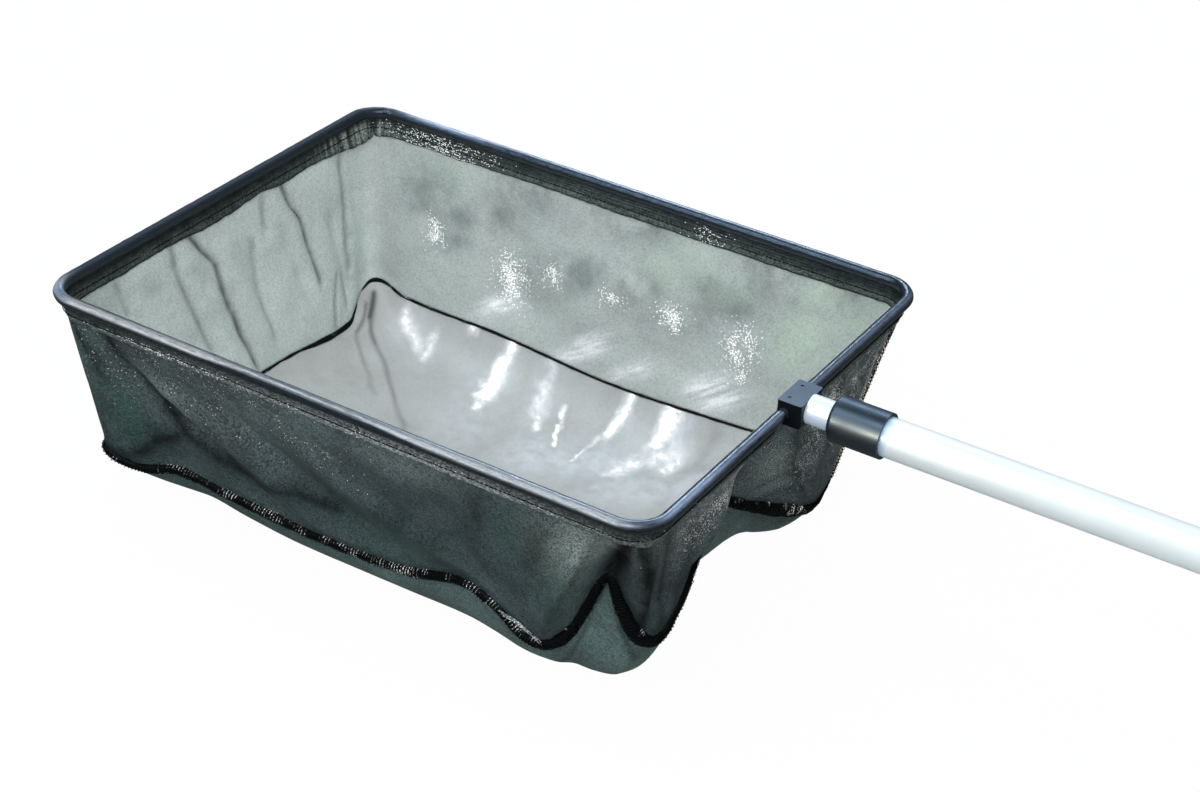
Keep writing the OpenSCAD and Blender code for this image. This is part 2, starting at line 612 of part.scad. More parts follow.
// Threaded body in the outer tube's mouth.
module lock_body() {
    color("#202327") difference() {
        union() {
            along_x(tube_mouth_x - thread_length) cylinder(h = thread_length - seat_gap, r = thread_r);
            along_x(tube_mouth_x - 1) cylinder(h = lock_plug_length + 1, r = outer_bore_r - seat_gap);
        }
        along_x(tube_mouth_x - thread_length - 1)
            cylinder(h = thread_length + lock_plug_length + 2, r = inner_r + run_gap + 0.02);
        lock_pin_lines() cylinder(h = outer_r, r = lock_pin_d / 2);
    }
}

// Two pins through the outer tube's wall, covered by the collar's skirt.
module lock_pins() {
    bottom_r = inner_r + run_gap + 0.2;
    color("#9a9fa4") lock_pin_lines() translate([0, 0, bottom_r])
        cylinder(h = outer_r - bottom_r - 2 * seat_gap, r = lock_pin_d / 2 - seat_gap);
}

// ---------------------------------------------------------------- outer section
module outer_tube() {
    color("#eef1f1") difference() {
        along_x(tube_mouth_x) cylinder(h = outer_length, r = outer_r);
        along_x(tube_mouth_x - 1) cylinder(h = outer_length + 2, r = outer_bore_r);
        lock_pin_lines() cylinder(h = outer_d, r = lock_pin_d / 2);
    }
}

// Hand grip: smooth in the middle, a flare in front, ring grooves at both ends.
groove_w = 1.6;
module grip() {
    half = grip_length / 2;
    groove_room = half - grip_smooth / 2;
    chamfer = 1;
    profile = [[outer_r + seat_gap, -half], [grip_r + grip_flare - chamfer, -half],
        [grip_r + grip_flare, -half + chamfer], [grip_r + grip_flare, -half + 3],
        [grip_r, -half + 3 + 2 * grip_flare], [grip_r, half - chamfer], [grip_r - chamfer, half],
        [outer_r + seat_gap, half]];
    groove_x = [-grip_smooth / 2 - groove_w, grip_smooth / 2, grip_smooth / 2 + groove_room / 2 - groove_w / 2];
    color("#1d2023") along_x(0) difference() {
        rotate_extrude() polygon([for (p = profile) p]);
        for (x = groove_x) rotate_extrude() translate([grip_r - groove_depth, x])
            square([grip_flare + groove_depth + 1, groove_w]);
    }
}

// Plug in the outer tube's butt, with a tab and a hole to hang the tool by.
module end_plug() {
    rim_r = grip_r - 1.5;
    rim_x = grip_length / 2 + seat_gap;
    color("#1d2023") difference() {
        union() {
            along_x(tube_end_x - plug_length)
                cylinder(h = plug_length + plug_shoulder + 1, r = outer_bore_r - seat_gap);
            along_x(rim_x) cylinder(h = plug_rim, r = rim_r);
            translate([rim_x + plug_rim - 1, 0, -tab_t / 2]) tab();
        }
        translate([rim_x + plug_rim + tab_length - tab_width / 2, 0, -tab_t])
            cylinder(h = 2 * tab_t, r = hang_hole_d / 2);
        along_x(tube_end_x - plug_length - 1) cylinder(h = plug_length, r = outer_bore_r - 3);
    }
}

module tab() {
    round_x = tab_length + 1 - tab_width / 2;
    linear_extrude(tab_t) union() {
        translate([0, -tab_width / 2]) square([round_x, tab_width]);
        translate([round_x, 0]) circle(r = tab_width / 2);
    }
}

hoop_rod();
rim_sleeve();
hem_stitching();
bag_walls();
closing_seam();
bag_bottom();
bottom_seam();
socket_block();
rod_pins();
tube_rivet();
inner_tube();
end_core();
core_pin();
guide_ring();
lock_collar();
collet();
lock_body();
lock_pins();
outer_tube();
grip();
end_plug();
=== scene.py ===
"""Looks of a leaf skimmer net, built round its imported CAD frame.

Everything is in metres, in the frame of the CAD part: +X runs along the pole to its butt,
the net is on the -X side, +Z points up out of the net's mouth.
"""
import math

import bpy
import numpy as np
from mathutils import Matrix, Vector, noise


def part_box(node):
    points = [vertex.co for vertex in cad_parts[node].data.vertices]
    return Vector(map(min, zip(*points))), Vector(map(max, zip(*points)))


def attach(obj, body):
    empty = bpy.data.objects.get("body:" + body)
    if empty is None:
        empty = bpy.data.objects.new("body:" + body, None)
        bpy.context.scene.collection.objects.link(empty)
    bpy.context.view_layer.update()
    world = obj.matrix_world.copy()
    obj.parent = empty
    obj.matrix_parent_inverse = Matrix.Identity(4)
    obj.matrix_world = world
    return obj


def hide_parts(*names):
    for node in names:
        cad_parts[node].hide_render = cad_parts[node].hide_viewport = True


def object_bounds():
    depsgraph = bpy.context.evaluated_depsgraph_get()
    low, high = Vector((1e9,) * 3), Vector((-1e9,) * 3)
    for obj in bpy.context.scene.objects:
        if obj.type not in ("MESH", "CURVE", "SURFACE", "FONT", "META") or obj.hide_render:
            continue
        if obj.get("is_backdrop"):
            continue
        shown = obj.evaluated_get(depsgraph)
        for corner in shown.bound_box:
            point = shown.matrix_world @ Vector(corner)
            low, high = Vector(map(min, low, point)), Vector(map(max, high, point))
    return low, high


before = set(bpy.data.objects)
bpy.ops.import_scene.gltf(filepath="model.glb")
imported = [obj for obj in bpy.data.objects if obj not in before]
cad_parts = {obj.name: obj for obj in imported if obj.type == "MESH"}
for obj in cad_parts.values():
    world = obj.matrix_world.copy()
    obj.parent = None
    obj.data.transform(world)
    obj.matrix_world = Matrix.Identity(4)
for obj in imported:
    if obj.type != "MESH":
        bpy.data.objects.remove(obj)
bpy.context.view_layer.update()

MM = 0.001

# ------------------------------------------------------------------ sizes, from the frame
ROD_LOW, ROD_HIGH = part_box("hoop_rod")
ROD_R = (ROD_HIGH.z - ROD_LOW.z) / 2
HOOP_X = (ROD_LOW.x + ROD_HIGH.x) / 2
HALF_L = (ROD_HIGH.x - ROD_LOW.x) / 2 - ROD_R
HALF_W = (ROD_HIGH.y - ROD_LOW.y) / 2 - ROD_R
BLOCK_LOW, BLOCK_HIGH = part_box("socket_block")
CORNER_R = 22 * MM

BAG_DEPTH = 130 * MM
BAG_INSET = 36 * MM
BOTTOM_SAG = 35 * MM
CLOTH_T = 0.5 * MM
SLEEVE_T = 0.45 * MM
SLEEVE_R = ROD_R + 0.06 * MM
HEM_DEPTH = 16 * MM
HEM_SLANT = math.radians(14)
HEM_GAP = 0.6 * MM
SEAM_D = 4.4 * MM
SEAM_BEND_R = 0.64 * CORNER_R
CLOTH_GAP = 2 * MM
MESH_SIZE = 0.95 * MM
NOTCH = (BLOCK_HIGH.y - BLOCK_LOW.y) / 2 + CLOTH_GAP
SLEEVE_STOP = NOTCH + CLOTH_GAP


# ------------------------------------------------------------------ camera, floor and light
SENSOR = 36.0
LENS = 72.507
FAR_CLIP = 60.0
CAMERA_PLACE = Vector((755.20 * MM + HOOP_X, -1133.84 * MM, 781.13 * MM))
CAMERA_RIGHT = (0.8444456, 0.53337298, 0.0492431)
CAMERA_UP = (-0.32006707, 0.42873766, 0.84483199)
CAMERA_AHEAD = (-0.42949818, 0.72917575, -0.53276077)
FLOOR_REACH = 14.0

# Area lamps: place from the net, size, watts, colour and whether gloss shows them.
NET_MIDDLE = Vector((HOOP_X, 0, -80 * MM))
LAMPS = {
    "overhead": ((-0.1, -0.4, 2.6), (1.0, 1.0), 27, (0.97, 0.99, 1), False),
    "high": ((-0.87, -0.88, 2.25), (0.8, 0.8), 15, (0.66, 0.84, 1), True),
    "left": ((-0.85, -1.85, 1.35), (0.6, 0.6), 9, (0.90, 0.96, 1), True),
    "behind": ((-1.05, 1.95, 1.6), (0.7, 0.45), 24, (0.62, 0.80, 1), True),
    "front": ((0.9, -2.1, 2.3), (0.8, 0.8), 42, (1, 1, 1), True),
}
# Soft spot on the collar's rear half: way to it, distance, watts, colour, width and lamp radius.
SPOT_WAY = Vector((-0.32, -0.914, 0.251))
SPOT_DISTANCE = 1.0
SPOT_WATTS = 26
SPOT_COLOUR = (1, 0.86, 0.66)
SPOT_ANGLE = math.radians(9)
SPOT_RADIUS = 0.05
SPOT_SHIFT = Vector((28 * MM, 0, 0))


def add_to_scene(name, data):
    made = bpy.data.objects.new(name, data)
    bpy.context.scene.collection.objects.link(made)
    return made


def make_camera():
    data = bpy.data.cameras.new("camera")
    data.sensor_width = SENSOR
    data.lens = LENS
    data.clip_end = FAR_CLIP
    camera = add_to_scene("camera", data)
    turn = Matrix((CAMERA_RIGHT, CAMERA_UP, [-c for c in CAMERA_AHEAD])).transposed()
    camera.matrix_world = Matrix.Translation(CAMERA_PLACE) @ turn.to_4x4()
    bpy.context.scene.camera = camera


def add_node(tree, kind, inputs=None, **settings):
    """Adds a node. inputs maps a socket's name or number to a value or to another node's output."""
    made = tree.nodes.new(kind)
    for name, value in settings.items():
        setattr(made, name, value)
    for name, value in (inputs or {}).items():
        if isinstance(value, bpy.types.NodeSocket):
            tree.links.new(value, made.inputs[name])
        else:
            made.inputs[name].default_value = value
    return made


def make_world():
    """White for the camera, plain light for the rest, and for gloss a pale horizon under a dim sky."""
    world = bpy.data.worlds.new("studio")
    bpy.context.scene.world = world
    world.use_nodes = True
    tree = world.node_tree
    tree.nodes.clear()
    path = add_node(tree, "ShaderNodeLightPath")
    seen = math_node(tree, "MAXIMUM", path.outputs["Is Camera Ray"], path.outputs["Is Transmission Ray"])
    aim = add_node(tree, "ShaderNodeTexCoord").outputs["Generated"]
    height = axis(tree, aim, 2)
    white = add_node(tree, "ShaderNodeBackground", {"Color": (1, 1, 1, 1), "Strength": 1.0})
    gloss = add_node(tree, "ShaderNodeBackground", {"Color": (0.80, 0.90, 1, 1),
                                                    "Strength": ramp(tree, height, 0.02, 0.35, 0.30, 0.10)})
    light = add_node(tree, "ShaderNodeBackground", {"Color": (0.93, 0.97, 1, 1), "Strength": 0.5})
    glossy = add_node(tree, "ShaderNodeMixShader",
                      {0: path.outputs["Is Glossy Ray"], 1: light.outputs[0], 2: gloss.outputs[0]})
    mixed = add_node(tree, "ShaderNodeMixShader", {0: seen, 1: glossy.outputs[0], 2: white.outputs[0]})
    add_node(tree, "ShaderNodeOutputWorld", {"Surface": mixed.outputs[0]})


def make_floor(low_z):
    """A wide pale floor under the net: it looks white, and keeps a soft shadow."""
    mesh = bpy.data.meshes.new("floor")
    corners = ((-1, -1), (1, -1), (1, 1), (-1, 1))
    mesh.from_pydata([(x * FLOOR_REACH, y * FLOOR_REACH, low_z) for x, y in corners], [], [(0, 1, 2, 3)])
    floor = add_to_scene("floor", mesh)
    mat, tree = new_material("floor")
    path = add_node(tree, "ShaderNodeLightPath")
    plain = add_node(tree, "ShaderNodeBsdfDiffuse", {"Color": (0.62, 0.64, 0.64, 1)})
    white = add_node(tree, "ShaderNodeEmission", {"Color": (1, 1, 1, 1), "Strength": 1.0})
    dim = add_node(tree, "ShaderNodeEmission", {"Color": (0.85, 1, 0.95, 1), "Strength": 0.14})
    share = times(tree, path.outputs["Is Camera Ray"], 0.98)
    mixed = add_node(tree, "ShaderNodeMixShader", {0: share, 1: plain.outputs[0], 2: white.outputs[0]})
    mixed = add_node(tree, "ShaderNodeMixShader",
                     {0: path.outputs["Is Glossy Ray"], 1: mixed.outputs[0], 2: dim.outputs[0]})
    add_node(tree, "ShaderNodeOutputMaterial", {"Surface": mixed.outputs[0]})
    mesh.materials.append(mat)
    floor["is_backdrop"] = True


def make_lights():
    for name, (away, size, watts, colour, in_gloss) in LAMPS.items():
        data = bpy.data.lights.new(name, "AREA")
        data.shape = "RECTANGLE"
        data.size, data.size_y = size
        data.energy = watts
        data.color = colour
        lamp = add_to_scene(name, data)
        lamp.location = NET_MIDDLE + Vector(away)
        lamp.rotation_mode = "QUATERNION"
        lamp.rotation_quaternion = (-Vector(away)).to_track_quat("-Z", "Y")
        lamp.visible_glossy = in_gloss
    low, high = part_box("lock_collar")
    add_spot("collar", (low + high) / 2 + SPOT_SHIFT)


def add_spot(name, target):
    """Soft spot aimed at one small part, seen only in its gloss."""
    data = bpy.data.lights.new(name, "SPOT")
    data.energy = SPOT_WATTS
    data.color = SPOT_COLOUR
    data.spot_size = SPOT_ANGLE
    data.spot_blend = 1.0
    data.shadow_soft_size = SPOT_RADIUS
    lamp = add_to_scene(name, data)
    lamp.location = target + SPOT_WAY * SPOT_DISTANCE
    lamp.rotation_euler = SPOT_WAY.to_track_quat("Z", "Y").to_euler()
    lamp.visible_diffuse = False


# ------------------------------------------------------------------ the hoop's outline
BEND = math.pi / 2 * CORNER_R
STRETCHES = np.array([HALF_W - CORNER_R, BEND, 2 * (HALF_L - CORNER_R), BEND, 2 * (HALF_W - CORNER_R),
                      BEND, 2 * (HALF_L - CORNER_R), BEND, HALF_W - CORNER_R])
PERIMETER = float(STRETCHES.sum())
ENDS = np.concatenate([[0], np.cumsum(STRETCHES)]) / PERIMETER
CORNERS = np.array([(1, 1), (-1, 1), (-1, -1), (1, -1)])


def outline(u, inset, r):
    """Points and outward normals of a rounded rectangle inside the hoop, at shares u of the way round.

    u is 0 in the middle of the pole side and runs over the +Y side, the far end and the -Y side.
    """
    w = np.asarray(u, float) % 1.0
    k = np.clip(np.searchsorted(ENDS, w, "right") - 1, 0, 8)
    f = (w - ENDS[k]) / (ENDS[k + 1] - ENDS[k])
    a = HALF_L - inset
    b = HALF_W - inset
    straight = [k == 0, k == 8, k == 2, k == 4, k == 6]
    x = np.select(straight, [a, a, (a - r) * (1 - 2 * f), -a, (a - r) * (2 * f - 1)], 0.0)
    y = np.select(straight, [(b - r) * f, (b - r) * (f - 1), b, (b - r) * (1 - 2 * f), -b], 0.0)
    turn = np.pi / 2 * np.select(straight, [0.0, 0.0, 1.0, 2.0, 3.0], 0.0)
    bend = k % 2 == 1
    q = np.minimum(k // 2, 3)
    around = np.pi / 2 * (q + f)
    x = np.where(bend, CORNERS[q, 0] * (a - r) + r * np.cos(around), x)
    y = np.where(bend, CORNERS[q, 1] * (b - r) + r * np.sin(around), y)
    turn = np.where(bend, around, turn)
    flat = np.zeros_like(x)
    point = np.stack([x + HOOP_X, y, flat], -1)
    normal = np.stack([np.cos(turn), np.sin(turn), flat], -1)
    return point, normal


# ------------------------------------------------------------------ how the bag hangs
# Where the bottom seam hangs: place round the hoop, share of the inset, share of the depth.
SEAM_HANG = [
    (0.000, 0.72, 0.66), (0.027, 0.56, 0.83), (0.050, 0.46, 0.97), (0.077, 0.62, 1.03),
    (0.102, 0.78, 1.00), (0.120, 0.86, 0.99), (0.172, 0.97, 1.01), (0.240, 1.00, 1.03),
    (0.310, 1.00, 0.98), (0.375, 0.97, 0.97), (0.394, 0.78, 0.93), (0.408, 0.70, 0.98),
    (0.422, 0.92, 1.08), (0.480, 0.97, 1.02), (0.530, 0.97, 1.00), (0.567, 0.80, 0.98),
    (0.592, 0.60, 0.95), (0.607, 0.52, 0.93), (0.622, 0.75, 1.00), (0.640, 0.92, 0.95),
    (0.665, 0.97, 0.98), (0.720, 1.00, 1.01), (0.775, 1.00, 0.98), (0.810, 0.92, 0.88),
    (0.828, 0.88, 0.94), (0.842, 0.86, 1.03), (0.855, 0.80, 1.00), (0.866, 0.68, 0.82),
    (0.881, 0.62, 0.42), (0.891, 0.63, 0.60), (0.903, 0.56, 0.78), (0.917, 0.45, 0.85),
    (0.932, 0.42, 0.74), (0.952, 0.62, 0.60), (0.975, 0.82, 0.52)]

# Broad folds of the walls: place at the rim, place at the seam, width and depth in mm (out of
# the bag is positive), height share where the fold starts and ends.
WALL_FOLDS = [
    (0.470, 0.445, 9, 3.0, 0.15, 0.75), (0.500, 0.478, 10, 3.5, 0.10, 0.80),
    (0.530, 0.505, 9, 3.0, 0.10, 0.85), (0.558, 0.535, 10, 3.5, 0.05, 0.85),
    (0.430, 0.418, 8, 3.0, 0.20, 0.90), (0.622, 0.700, 16, -7.0, 0.02, 1.00),
    (0.632, 0.745, 20, 6.0, 0.05, 0.95), (0.650, 0.790, 20, -5.0, 0.10, 0.85),
    (0.700, 0.830, 22, 5.0, 0.20, 0.90), (0.868, 0.858, 12, 5.0, 0.10, 0.85),
    (0.884, 0.881, 9, -8.0, 0.05, 0.80), (0.897, 0.896, 8, 6.0, 0.05, 0.80),
    (0.925, 0.908, 12, -3.0, 0.10, 0.70), (0.950, 0.934, 28, 9.0, 0.10, 0.60),
    (0.992, 0.968, 24, -14.0, 0.05, 1.00), (0.030, 0.030, 24, 7.0, 0.20, 1.00),
    (0.062, 0.055, 10, -4.0, 0.10, 0.80), (0.180, 0.205, 26, 5.0, 0.15, 0.85),
    (0.250, 0.262, 24, -4.0, 0.20, 0.80), (0.320, 0.300, 26, 5.0, 0.15, 0.85)]


def ease(t):
    c = np.clip(t, 0, 1)
    return c * c * (3 - 2 * c)


def swell(t):
    return np.exp(-t * t)


def unit(v):
    return v / np.maximum(np.linalg.norm(v, axis=-1, keepdims=True), 1e-9)


def hang(u):
    """Inset and depth of the bottom seam at u: a smooth curve through SEAM_HANG."""
    table = np.array([(a + turn, b, c) for turn in (-1, 0, 1) for a, b, c in SEAM_HANG])
    w = np.asarray(u, float) % 1.0
    i = np.searchsorted(table[:, 0], w, "right") - 1
    p0, p1, p2, p3 = (table[i + j] for j in (-1, 0, 1, 2))
    h = p2[..., 0] - p1[..., 0]
    t = ((w - p1[..., 0]) / h)[..., None]
    m1 = (p2 - p0) / (p2[..., :1] - p0[..., :1]) * h[..., None]
    m2 = (p3 - p1) / (p3[..., :1] - p1[..., :1]) * h[..., None]
    v = ((2 * t**3 - 3 * t**2 + 1) * p1 + (t**3 - 2 * t**2 + t) * m1
         + (3 * t**2 - 2 * t**3) * p2 + (t**3 - t**2) * m2)
    return v[..., 1] * BAG_INSET, v[..., 2] * BAG_DEPTH


def seam_point(u):
    inset, depth = hang(u)
    point, _ = outline(u, inset, SEAM_BEND_R)
    point[..., 2] = -depth
    return point


def hem_point(u, drop, out):
    """Point of the hem: drop metres down its slant from the rod's centre, out metres out of the bag."""
    rim, normal = outline(u, 0.0, CORNER_R)
    up = np.array([0.0, 0.0, 1.0])
    down = -normal * math.sin(HEM_SLANT) - up * math.cos(HEM_SLANT)
    face = normal * math.cos(HEM_SLANT) - up * math.sin(HEM_SLANT)
    return rim + down * drop[..., None] + face * out[..., None]


def way_round(d):
    return (d - np.round(d)) * PERIMETER


def fold_height(u, t):
    total = np.zeros(np.broadcast(u, t).shape)
    for rim, foot, width, depth, start, end in WALL_FOLDS:
        total += (depth * MM * swell(way_round(u - (rim + (foot - rim) * t)) / (width * MM))
                  * ease((t - start) / 0.25) * ease((end - t) / 0.25 + 0.4))
    return total


def from_noise(points, scale, seed, octaves=3):
    """Smooth noise from -1 to 1 at points, scale metres wide."""
    shift = Vector((seed * 3.7, seed * 1.3, seed * 2.1))
    flat = points.reshape(-1, 3) / scale
    out = [noise.fractal(Vector(p) + shift, 1.0, 2.0, octaves) for p in flat]
    return np.array(out).reshape(points.shape[:-1])


# Sharp creases of the walls, as lines from place to place: share of the way round, share of the
# height, then half width in mm, depth in mm and how dark the crease is painted, as painted fold shade over
# the doubled cloth.
WALL_CREASES = [
    ([(0.573, 0.13), (0.572, 0.34)], 3.0, 1.5, 0.35),
    ([(0.5375, 0.12), (0.5384, 0.33), (0.5353, 0.52), (0.532, 0.74)], 2.8, 1.8, 0.62),
    ([(0.5251, 0.13), (0.514, 0.34), (0.5118, 0.58), (0.5048, 0.96)], 3.0, 2.4, 0.90),
    ([(0.486, 0.34), (0.4881, 0.55), (0.4851, 0.88)], 3.2, 1.5, 0.40),
    ([(0.4754, 0.13), (0.4765, 0.30)], 3.5, 1.6, 0.45),
    ([(0.4625, 0.12), (0.4507, 0.36), (0.4473, 0.50), (0.4417, 0.71)], 2.6, 2.4, 0.85),
    ([(0.4173, 0.16), (0.416, 0.50), (0.4162, 0.76)], 3.0, 1.8, 0.50),
    ([(0.4287, 0.72), (0.4335, 0.86), (0.4331, 1.0)], 1.8, 1.4, 0.60),
    ([(0.4232, 0.74), (0.4216, 0.90)], 1.6, 1.2, 0.50),
    ([(0.634, 0.08), (0.6389, 0.23), (0.6426, 0.39), (0.6509, 0.53), (0.6603, 0.68), (0.6727, 0.77),
      (0.6835, 0.81), (0.6981, 0.80)], 6.5, 1.5, 0.8),
    ([(0.634, 0.08), (0.6389, 0.23), (0.6426, 0.39), (0.6509, 0.53), (0.6603, 0.68)], 3.0, 0.0, 1.0),
    ([(0.607, 1.0), (0.6307, 0.85), (0.6536, 0.68)], 5.0, 2.5, 0.85),
    ([(0.676, 0.74), (0.7047, 0.72), (0.7204, 0.70), (0.7395, 0.74)], 4.0, 2.0, 0.80),
    ([(0.613, 0.05), (0.621, 0.30), (0.623, 0.42)], 4.0, 1.5, 0.70),
    ([(0.645, 0.10), (0.668, 0.30), (0.684, 0.50)], 7.0, 0.5, 0.35),
    ([(0.668, 0.16), (0.6863, 0.40), (0.6977, 0.57)], 8.0, 2.0, 0.35),
    ([(0.716, 0.32), (0.745, 0.52), (0.775, 0.62), (0.795, 0.70)], 9.0, 2.0, 0.30),
    ([(0.819, 0.22), (0.8158, 0.58), (0.822, 0.74)], 8.0, 2.0, 0.50),
    ([(0.851, 0.15), (0.8442, 0.50)], 9.0, 2.0, 0.45),
    ([(0.886, 0.06), (0.8845, 0.45), (0.882, 0.85)], 9.0, 2.0, 1.20),
    ([(0.874, 0.14), (0.868, 0.45), (0.852, 0.90)], 5.0, 2.0, 0.45),
    ([(0.893, 0.12), (0.897, 0.50), (0.901, 0.90)], 7.5, 2.0, 1.00),
    ([(0.908, 0.16), (0.912, 0.50), (0.917, 0.92)], 4.5, 0.6, 0.60),
    ([(0.930, 0.20), (0.926, 0.60), (0.925, 0.92)], 5.0, 0.5, 0.45),
    ([(0.985, 0.20), (0.972, 0.60), (0.960, 0.95)], 7.0, 3.0, 0.80),
    ([(0.012, 0.20), (0.018, 0.60), (0.034, 0.90)], 5.0, 2.0, 0.60),
    ([(0.050, 0.15), (0.046, 0.55), (0.040, 0.95)], 5.0, 2.0, 0.50),
    ([(0.001, 0.80), (0.012, 0.70), (0.026, 0.68), (0.040, 0.78)], 2.6, 1.2, 0.55),
    ([(0.006, 0.92), (0.022, 0.80), (0.040, 0.90)], 2.6, 1.2, 0.50)]


def near_line(s, h, line, width):
    """Nearness, 1 to 0, of points (s, h) in metres to a line of (share round, share of height)."""
    pts = [(a * PERIMETER, b * BAG_DEPTH) for a, b in line]
    best = np.full(s.shape, 1e9)
    for (ax, ay), (bx, by) in zip(pts, pts[1:]):
        dx, dy = bx - ax, by - ay
        t = np.clip(((s - ax) * dx + (h - ay) * dy) / (dx * dx + dy * dy), 0, 1)
        best = np.minimum(best, np.hypot(s - ax - t * dx, h - ay - t * dy))
    return swell(best / width)


# ------------------------------------------------------------------ mesh building
def make_object(name, verts, faces, materials, slots=None, uv=None, values=None):
    """Smooth mesh object. slots is a material number per face, uv a pair per vertex, values named
    floats per vertex."""
    mesh = bpy.data.meshes.new(name)
    mesh.from_pydata(verts.tolist(), [], faces)
    mesh.polygons.foreach_set("use_smooth", [True] * len(mesh.polygons))
    if slots is not None:
        mesh.polygons.foreach_set("material_index", np.asarray(slots, np.int32))
    if uv is not None:
        layer = mesh.uv_layers.new(name="cloth")
        corner = np.empty(len(mesh.loops), np.int32)
        mesh.loops.foreach_get("vertex_index", corner)
        layer.data.foreach_set("uv", np.asarray(uv, np.float32)[corner].ravel())
    for key, vals in (values or {}).items():
        attribute = mesh.attributes.new(key, "FLOAT", "POINT")
        attribute.data.foreach_set("value", np.asarray(vals, np.float32).ravel())
    mesh.update()
    for material in materials:
        mesh.materials.append(material)
    return add_to_scene(name, mesh)


def grid_faces(rows, cols, ring):
    j, i = np.meshgrid(np.arange(rows - 1), np.arange(cols if ring else cols - 1), indexing="ij")
    k = (i + 1) % cols
    quads = [j * cols + i, j * cols + k, (j + 1) * cols + k, (j + 1) * cols + i]
    return np.stack(quads, -1).reshape(-1, 4)


def closed_sheet(name, outer, inner, ring, materials, slots, uv, values):
    """Closed sheet between two grids of points. slots is the material number of the outer faces and
    of the inner ones, each a number or one per face. The rims take number 1."""
    rows, cols = outer.shape[:2]
    size = rows * cols
    grid = grid_faces(rows, cols, ring)
    i = np.arange(cols if ring else cols - 1)
    k = (i + 1) % cols
    last = (rows - 1) * cols
    rims = [np.stack([i, i + size, k + size, k], -1),
            np.stack([last + i, last + k, last + k + size, last + i + size], -1)]
    if not ring:
        a = np.arange(rows - 1) * cols
        b = a + cols
        rims.append(np.stack([a, b, b + size, a + size], -1))
        a, b = a + cols - 1, b + cols - 1
        rims.append(np.stack([a, a + size, b + size, b], -1))
    rims = np.concatenate(rims)
    faces = np.concatenate([grid, grid[:, ::-1] + size, rims])
    numbers = [np.broadcast_to(slots[0], len(grid)), np.broadcast_to(slots[1], len(grid)), np.ones(len(rims))]
    verts = np.concatenate([outer.reshape(-1, 3), inner.reshape(-1, 3)])
    values = {key: np.tile(v.ravel(), 2) for key, v in values.items()}
    return make_object(name, verts, faces.tolist(), materials, np.concatenate(numbers),
                       np.tile(uv.reshape(-1, 2), (2, 1)), values)


def cloth_shell(name, middle, uv, materials, values):
    """Closed ring of cloth round a grid of points: materials are that of its outer side and of its inner."""
    along = np.roll(middle, -1, 1) - np.roll(middle, 1, 1)
    half = unit(np.cross(np.gradient(middle, axis=0), along)) * CLOTH_T / 2
    return closed_sheet(name, middle + half, middle - half, True, materials, (0, 1), uv, values)


def across_path(along):
    """Two directions square to a path, level and upright as far as they can be."""
    up = np.zeros_like(along)
    up[:, 2] = 1.0
    up[np.abs(along[:, 2]) > 0.9] = (1.0, 0.0, 0.0)
    side = unit(np.cross(along, up))
    return side, np.cross(side, along)


def way_along(path):
    return np.concatenate([[0], np.cumsum(np.linalg.norm(np.diff(path, axis=0), axis=1))])


def tube(path, radius, sides, closed, first=0):
    """Points and faces of a round tube along a path. radius is one number or one per point, and
    first is the number of its first point."""
    n = len(path)
    along = unit(np.roll(path, -1, 0) - np.roll(path, 1, 0) if closed else np.gradient(path, axis=0))
    side, top = across_path(along)
    a = (np.arange(sides) * 2 * np.pi / sides)[None, :, None]
    r = np.broadcast_to(np.asarray(radius, float), (n,))[:, None, None]
    rings = path[:, None] + r * (np.cos(a) * side[:, None] + np.sin(a) * top[:, None])
    j, i = np.meshgrid(np.arange(n if closed else n - 1), np.arange(sides), indexing="ij")
    j2, i2 = (j + 1) % n, (i + 1) % sides
    quads = [j * sides + i, j2 * sides + i, j2 * sides + i2, j * sides + i2]
    faces = (np.stack(quads, -1).reshape(-1, 4) + first).tolist()
    if not closed:
        faces.append([first + k for k in range(sides)])
        faces.append([first + (n - 1) * sides + k for k in reversed(range(sides))])
    return rings.reshape(-1, 3), faces


def tube_object(name, path, radius, sides, closed, material, values=None):
    verts, faces = tube(path, radius, sides, closed)
    a = np.arange(sides) * 2 * np.pi / sides
    uv = np.stack([np.repeat(way_along(path), sides), np.tile(a * float(np.mean(radius)), len(path))], -1)
    return make_object(name, verts, faces, [material], None, uv, values)


def strands(name, paths, radius, sides, material):
    """One object of many short open tubes, all with the same number of points."""
    verts, faces = [], []
    for k, path in enumerate(paths):
        points, more = tube(path, radius, sides, False, k * len(path) * sides)
        verts.append(points)
        faces += more
    return make_object(name, np.concatenate(verts), faces, [material])


# ------------------------------------------------------------------ materials
def new_material(name):
    mat = bpy.data.materials.new(name)
    mat.use_nodes = True
    mat.node_tree.nodes.clear()
    return mat, mat.node_tree


def principled(tree, inputs):
    shader = add_node(tree, "ShaderNodeBsdfPrincipled", inputs)
    add_node(tree, "ShaderNodeOutputMaterial", {"Surface": shader.outputs[0]})


def math_node(tree, operation, a, b=0.0, clamp=False):
    return add_node(tree, "ShaderNodeMath", {0: a, 1: b}, operation=operation, use_clamp=clamp).outputs[0]


def times(tree, a, b, clamp=False):
    return math_node(tree, "MULTIPLY", a, b, clamp)


def plus(tree, a, b):
    return math_node(tree, "ADD", a, b)


def mix_value(tree, share, a, b):
    return add_node(tree, "ShaderNodeMix", {"Factor": share, 2: a, 3: b}, data_type="FLOAT").outputs[0]


def mix_colour(tree, share, a, b):
    a, b = (c if isinstance(c, bpy.types.NodeSocket) else (*c, 1) for c in (a, b))
    return add_node(tree, "ShaderNodeMix", {"Factor": share, 6: a, 7: b}, data_type="RGBA").outputs[2]


def overlay(tree, base, share, colour):
    """Base with a colour over it, as strong as share, which is kept between 0 and 1."""
    return mix_colour(tree, times(tree, share, 1.0, True), base, colour)


